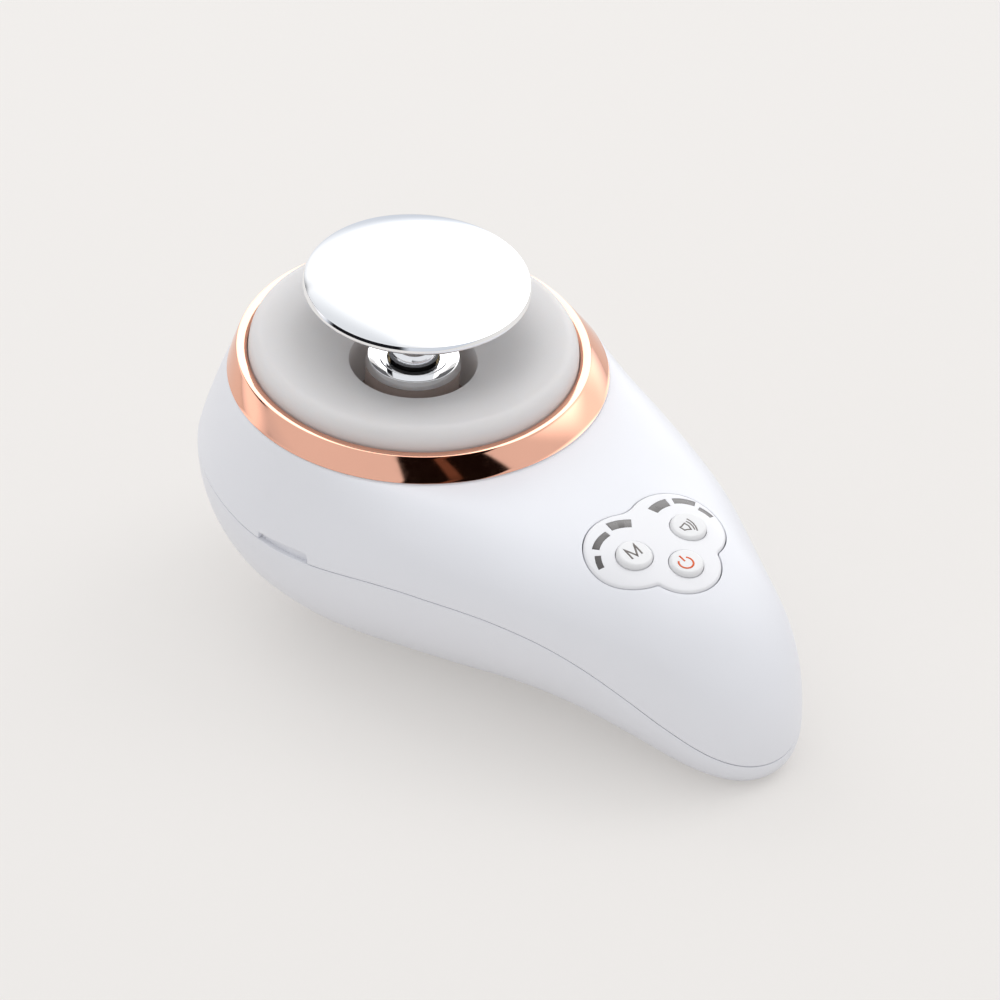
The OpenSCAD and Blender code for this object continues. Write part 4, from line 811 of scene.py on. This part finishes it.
# Keys: a cap with a rounded edge and a faint dome, on a flange that holds it under the panel
KEY_LOW, KEY_FLANGE, KEY_ROUND, KEY_DOME, DOME_PARTS = -4.4, 0.5, 0.75, 0.1, 12
for key, (u, v, r) in BUTTONS.items():
    under, flat, bend_z = -PANEL_ROOF - 0.02, r - KEY_ROUND, BUTTON_TOP - KEY_ROUND
    prof = [(0, KEY_LOW), (r + KEY_FLANGE, KEY_LOW), (r + KEY_FLANGE, under), (r, under), (r, bend_z)]
    prof += [(flat + KEY_ROUND * math.cos(math.radians(a)), bend_z + KEY_ROUND * math.sin(math.radians(a)))
             for a in range(8, 90, 8)]
    prof += [(flat * (1 - k / DOME_PARTS), BUTTON_TOP + KEY_DOME * (1 - (1 - k / DOME_PARTS) ** 2))
             for k in range(DOME_PARTS + 1)]
    lathe(key + "_cap", prof, KEY, key + "_key", [key + "_button"], place=panel_point,
          centre=(u, v), turns=96, closed=False)


# ---- marks on the keys ------------------------------------------------------

MARK_LIFT, MARK_T, MARK_STEP, MARK_SHIFT = 0.012, 0.02, 0.2, (0.76, -0.88)


def key_top(key, u, v):
    """Height of a mark on the key's top over (u, v)."""
    cu, cv, r = BUTTONS[key]
    d = min(math.hypot(u - cu, v - cv) / (r - KEY_ROUND), 1)
    return BUTTON_TOP + KEY_DOME * (1 - d * d) + MARK_LIFT


def stroke(path, width, key, closed=False):
    """Flat ribbon along a path of panel coordinates, lying on the key's top."""
    p = np.array(path, float)
    fine = []
    last = len(p) if closed else len(p) - 1
    for k in range(last):
        a, b = p[k], p[(k + 1) % len(p)]
        m = max(int(np.linalg.norm(b - a) / MARK_STEP), 1)
        fine += [a + (b - a) * j / m for j in range(m)]
    if not closed:
        fine.append(p[-1])
    p = np.array(fine)
    verts, faces = [], []
    n = len(p)
    for k in range(n):
        a = p[(k - 1) % n] if closed or k > 0 else p[k]
        b = p[(k + 1) % n] if closed or k < n - 1 else p[k]
        t = (b - a) / max(np.linalg.norm(b - a), 1e-9)
        nrm = np.array([-t[1], t[0]])
        t0 = p[k] - a
        t1 = b - p[k]
        c = 1.0     # the ribbon widens at a corner, so that its sides stay parallel
        if np.linalg.norm(t0) > 1e-9 and np.linalg.norm(t1) > 1e-9:
            c = max(math.sqrt(max((1 + (t0 @ t1) / np.linalg.norm(t0) / np.linalg.norm(t1)) / 2, 0.12)), 0.35)
        for s in (-1, 1):
            q = p[k] + nrm * s * width / 2 / c
            verts.append((q[0], q[1], key_top(key, *q)))
    m = n if closed else n - 1
    for k in range(m):
        i, j = 2 * k, 2 * ((k + 1) % n)
        faces.append((i, j, j + 1, i + 1))
    return verts, faces


def mark(name, strokes, material, key):
    """A thin raised mark of several strokes, each a path, its width and whether it closes."""
    verts, faces = [], []
    for path, width, closed in strokes:
        v, f = stroke([(u + MARK_SHIFT[0], v + MARK_SHIFT[1]) for u, v in path], width, key, closed)
        base = len(verts)
        verts += v
        faces += [tuple(base + k for k in q) for q in f]
    verts = [panel_point(*p) for p in verts]
    obj = finish_mesh(name, verts, faces, material, key + "_key", ())
    solid = obj.modifiers.new("thickness", "SOLIDIFY")
    solid.thickness = MARK_T * MM
    solid.offset = 0


mark("mode_mark",
     [([(-0.28, -7.94), (-3.02, -7.67), (-0.48, -6.52), (-3.31, -5.01), (-0.37, -5.29)], 0.4, False)],
     INK, "mode")
ring = [(6.35 + 1.5 * math.cos(math.radians(a)), 0.4 + 1.5 * math.sin(math.radians(a)))
        for a in range(-140, 141, 10)]
mark("power_mark", [(ring, 0.4, False), ([(4.15, 0.55), (5.95, 0.45)], 0.4, False)], INK_RED, "power")
mark("level_mark",
     [([(-1.77, 6.15), (-1.81, 6.65), (-2.13, 7.64), (-1.13, 7.86), (-0.11, 7.62), (-0.43, 7.05),
        (-0.65, 6.38)], 0.3, True),
      ([(-2.36, 8.28), (-1.75, 8.48), (-1.12, 8.54), (-0.35, 8.44), (0.38, 8.21)], 0.28, False),
      ([(-2.83, 8.88), (-2.0, 9.08), (-1.18, 9.13), (-0.2, 8.95), (0.87, 8.47)], 0.28, False)], INK, "level")

# ---- floor, light, camera ---------------------------------------------------

PALE = srgb(240, 237, 234)
FLOOR_HALF, PAPER_DARK, PAPER_LIGHT, OWN_TONE = 3, 0.924, 0.936, 0.45
corners = [(x * FLOOR_HALF, y * FLOOR_HALF, 0) for x, y in ((-1, -1), (1, -1), (1, 1), (-1, 1))]
floor_mesh = bpy.data.meshes.new("floor")
floor_mesh.from_pydata(corners, [], [(0, 1, 2, 3)])
floor = bpy.data.objects.new("floor", floor_mesh)
bpy.context.scene.collection.objects.link(floor)
paper = bpy.data.materials.new("floor_paper")
paper.use_nodes = True
pn, pl = paper.node_tree.nodes, paper.node_tree.links
matt = pn["Principled BSDF"]
matt.inputs["Roughness"].default_value = 0.95
matt.inputs["Specular IOR Level"].default_value = 0.1
noise = pn.new("ShaderNodeTexNoise")
noise.inputs["Scale"].default_value = 60
tone = pn.new("ShaderNodeValToRGB")
for element, k in zip(tone.color_ramp.elements, (PAPER_DARK, PAPER_LIGHT)):
    element.color = (*[c * k for c in PALE[:3]], 1)
pl.new(noise.outputs["Fac"], tone.inputs["Fac"])
pl.new(tone.outputs["Color"], matt.inputs["Base Color"])
# Seen directly or in a reflection, the paper keeps part of its own tone, so the shadow on it stays light
seen = pn.new("ShaderNodeLightPath")
glow = pn.new("ShaderNodeEmission")
glow.inputs["Color"].default_value = PALE
either = pn.new("ShaderNodeMath")
either.operation = "MAXIMUM"
pl.new(seen.outputs["Is Camera Ray"], either.inputs[0])
pl.new(seen.outputs["Is Glossy Ray"], either.inputs[1])
share = pn.new("ShaderNodeMath")
share.operation = "MULTIPLY"
share.inputs[1].default_value = OWN_TONE
pl.new(either.outputs["Value"], share.inputs[0])
both = pn.new("ShaderNodeMixShader")
pl.new(share.outputs["Value"], both.inputs["Fac"])
pl.new(matt.outputs["BSDF"], both.inputs[1])
pl.new(glow.outputs["Emission"], both.inputs[2])
pl.new(both.outputs["Shader"], pn["Material Output"].inputs["Surface"])
floor_mesh.materials.append(paper)
floor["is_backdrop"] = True

world = bpy.data.worlds.new("studio")
bpy.context.scene.world = world
world.use_nodes = True
wn, wl = world.node_tree.nodes, world.node_tree.links
coord = wn.new("ShaderNodeTexCoord")


def dot(vector):
    """How far the ray's direction points along a vector."""
    v = wn.new("ShaderNodeVectorMath")
    v.operation = "DOT_PRODUCT"
    wl.new(coord.outputs["Generated"], v.inputs[0])
    v.inputs[1].default_value = vector
    return v.outputs["Value"]


def math_node(op, a, b=None):
    """A sum on sockets or plain numbers."""
    m = wn.new("ShaderNodeMath")
    m.operation = op
    for k, x in enumerate((a, b)):
        if x is None:
            continue
        if isinstance(x, (int, float)):
            m.inputs[k].default_value = x
        else:
            wl.new(x, m.inputs[k])
    return m.outputs["Value"]


def ramp01(value, a, b, lo=0.0, hi=1.0):
    """Soft step from lo to hi as the value goes from a to b."""
    m = wn.new("ShaderNodeMapRange")
    m.interpolation_type = "SMOOTHSTEP"
    m.inputs["From Min"].default_value = a
    m.inputs["From Max"].default_value = b
    m.inputs["To Min"].default_value = lo
    m.inputs["To Max"].default_value = hi
    wl.new(value, m.inputs["Value"])
    return m.outputs["Result"]


# Directions of the studio: azimuth 0 is the front of the picture and 90 its right
front_dir, right_dir = (0.7580, -0.6523, 0), (0.6523, 0.7580, 0)
azimuth = math_node("MULTIPLY", math_node("ARCTAN2", dot(right_dir), dot(front_dir)), 180 / math.pi)
elevation = math_node("MULTIPLY", math_node("ARCSINE", dot((0, 0, 1))), 180 / math.pi)


def between(value, a, b, soft):
    """Mask of the values from a to b, with soft ends."""
    return math_node("MULTIPLY", ramp01(value, a - soft, a + soft), ramp01(value, b - soft, b + soft, 1, 0))


def patch(a0, a1, e0, e1, soft_a, soft_e):
    """Mask of a soft-edged window of directions, by azimuth and elevation in degrees."""
    return math_node("MULTIPLY", between(azimuth, a0, a1, soft_a), between(elevation, e0, e1, soft_e))


def over(below, mask, colour):
    """The colour laid over what is below, where the mask is 1."""
    m = wn.new("ShaderNodeMix")
    m.data_type = "RGBA"
    wl.new(mask, m.inputs["Factor"])
    wl.new(below, m.inputs[6])
    m.inputs[7].default_value = (*colour, 1)
    return m.outputs[2]


sky = wn.new("ShaderNodeValToRGB")
wl.new(ramp01(elevation, -5, 60), sky.inputs["Fac"])
els = sky.color_ramp.elements
els[0].position, els[0].color = 0.0, (0.66, 0.70, 0.77, 1)
els[1].position, els[1].color = 0.4, (0.90, 0.91, 0.93, 1)
# What polished metal sees: a large soft light behind, pale cards and dark cards at the sides
big_light = ramp01(dot((-0.2531, 0.7230, 0.6428)), math.cos(math.radians(46)), math.cos(math.radians(20)))
studio = over(sky.outputs["Color"], patch(-180, -100, 45, 200, 20, 12), (0.79, 0.81, 0.84))
studio = over(studio, big_light, (3.0, 3.0, 3.0))
for window, colour in (
        ((104, 134, 8, 26, 10, 6), (1.5, 1.4, 1.4)),
        ((-135, -96, 0, 14, 8, 5), (1.4, 1.35, 1.35)),
        ((-4, 63, 40, 66, 1.5, 3), (0.006, 0.003, 0.002)),
        ((26, 34, 46, 66, 1.5, 6), (0.16, 0.08, 0.05)),
        ((-152, -98, 18, 40, 5, 3), (0.01, 0.01, 0.012)),
        ((-88, -10, -2, 12, 6, 3), (0.01, 0.01, 0.012))):
    studio = over(studio, patch(*window), colour)
# All other rays get an even light, and the camera sees the pale backdrop
path = wn.new("ShaderNodeLightPath")
plain = wn.new("ShaderNodeMix")
plain.data_type = "RGBA"
wl.new(path.outputs["Is Camera Ray"], plain.inputs["Factor"])
glossy = wn.new("ShaderNodeMix")
glossy.data_type = "RGBA"
wl.new(path.outputs["Is Glossy Ray"], glossy.inputs["Factor"])
glossy.inputs[6].default_value = (0.79, 0.795, 0.805, 1)
wl.new(studio, glossy.inputs[7])
wl.new(glossy.outputs[2], plain.inputs[6])
plain.inputs[7].default_value = PALE
wl.new(plain.outputs[2], wn["Background"].inputs["Color"])


def softbox(name, place, size, power):
    """Square lamp that looks at the object and isn't seen in polished metal."""
    light = bpy.data.lights.new(name, "AREA")
    light.shape = "RECTANGLE"
    light.size, light.size_y = size, size
    light.energy = power
    obj = bpy.data.objects.new(name, light)
    obj.location = place
    obj.rotation_mode = "QUATERNION"
    obj.rotation_quaternion = (Vector((0.02, 0, 0.03)) - Vector(place)).to_track_quat("-Z", "Y")
    obj.visible_glossy = False
    bpy.context.scene.collection.objects.link(obj)


softbox("key", (0.25, 0.95, 1.15), 0.9, 3.6)
softbox("top", (-0.15, 0.1, 1.5), 1.0, 1.8)
softbox("rim", (-0.95, 0.10, 0.90), 0.8, 2.6)

camera = bpy.data.cameras.new("camera")
camera.lens, camera.sensor_width, camera.sensor_fit = 324.138, 36, "AUTO"
camera.clip_start, camera.clip_end = 0.05, 20
cam = bpy.data.objects.new("camera", camera)
bpy.context.scene.collection.objects.link(cam)
look = Vector((-0.64057, 0.5513, -0.534545)).normalized()
right = Vector((0.669092, 0.74229, -0.036238))
right = (right - look * right.dot(look)).normalized()
up = right.cross(look)
turn = Matrix((right, up, -look)).transposed()
cam.matrix_world = Matrix.Translation(Vector((1.177056, -1.00319, 1.003335))) @ turn.to_4x4()
bpy.context.scene.camera = cam
bpy.context.scene.view_settings.view_transform = "Standard"

low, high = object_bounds()
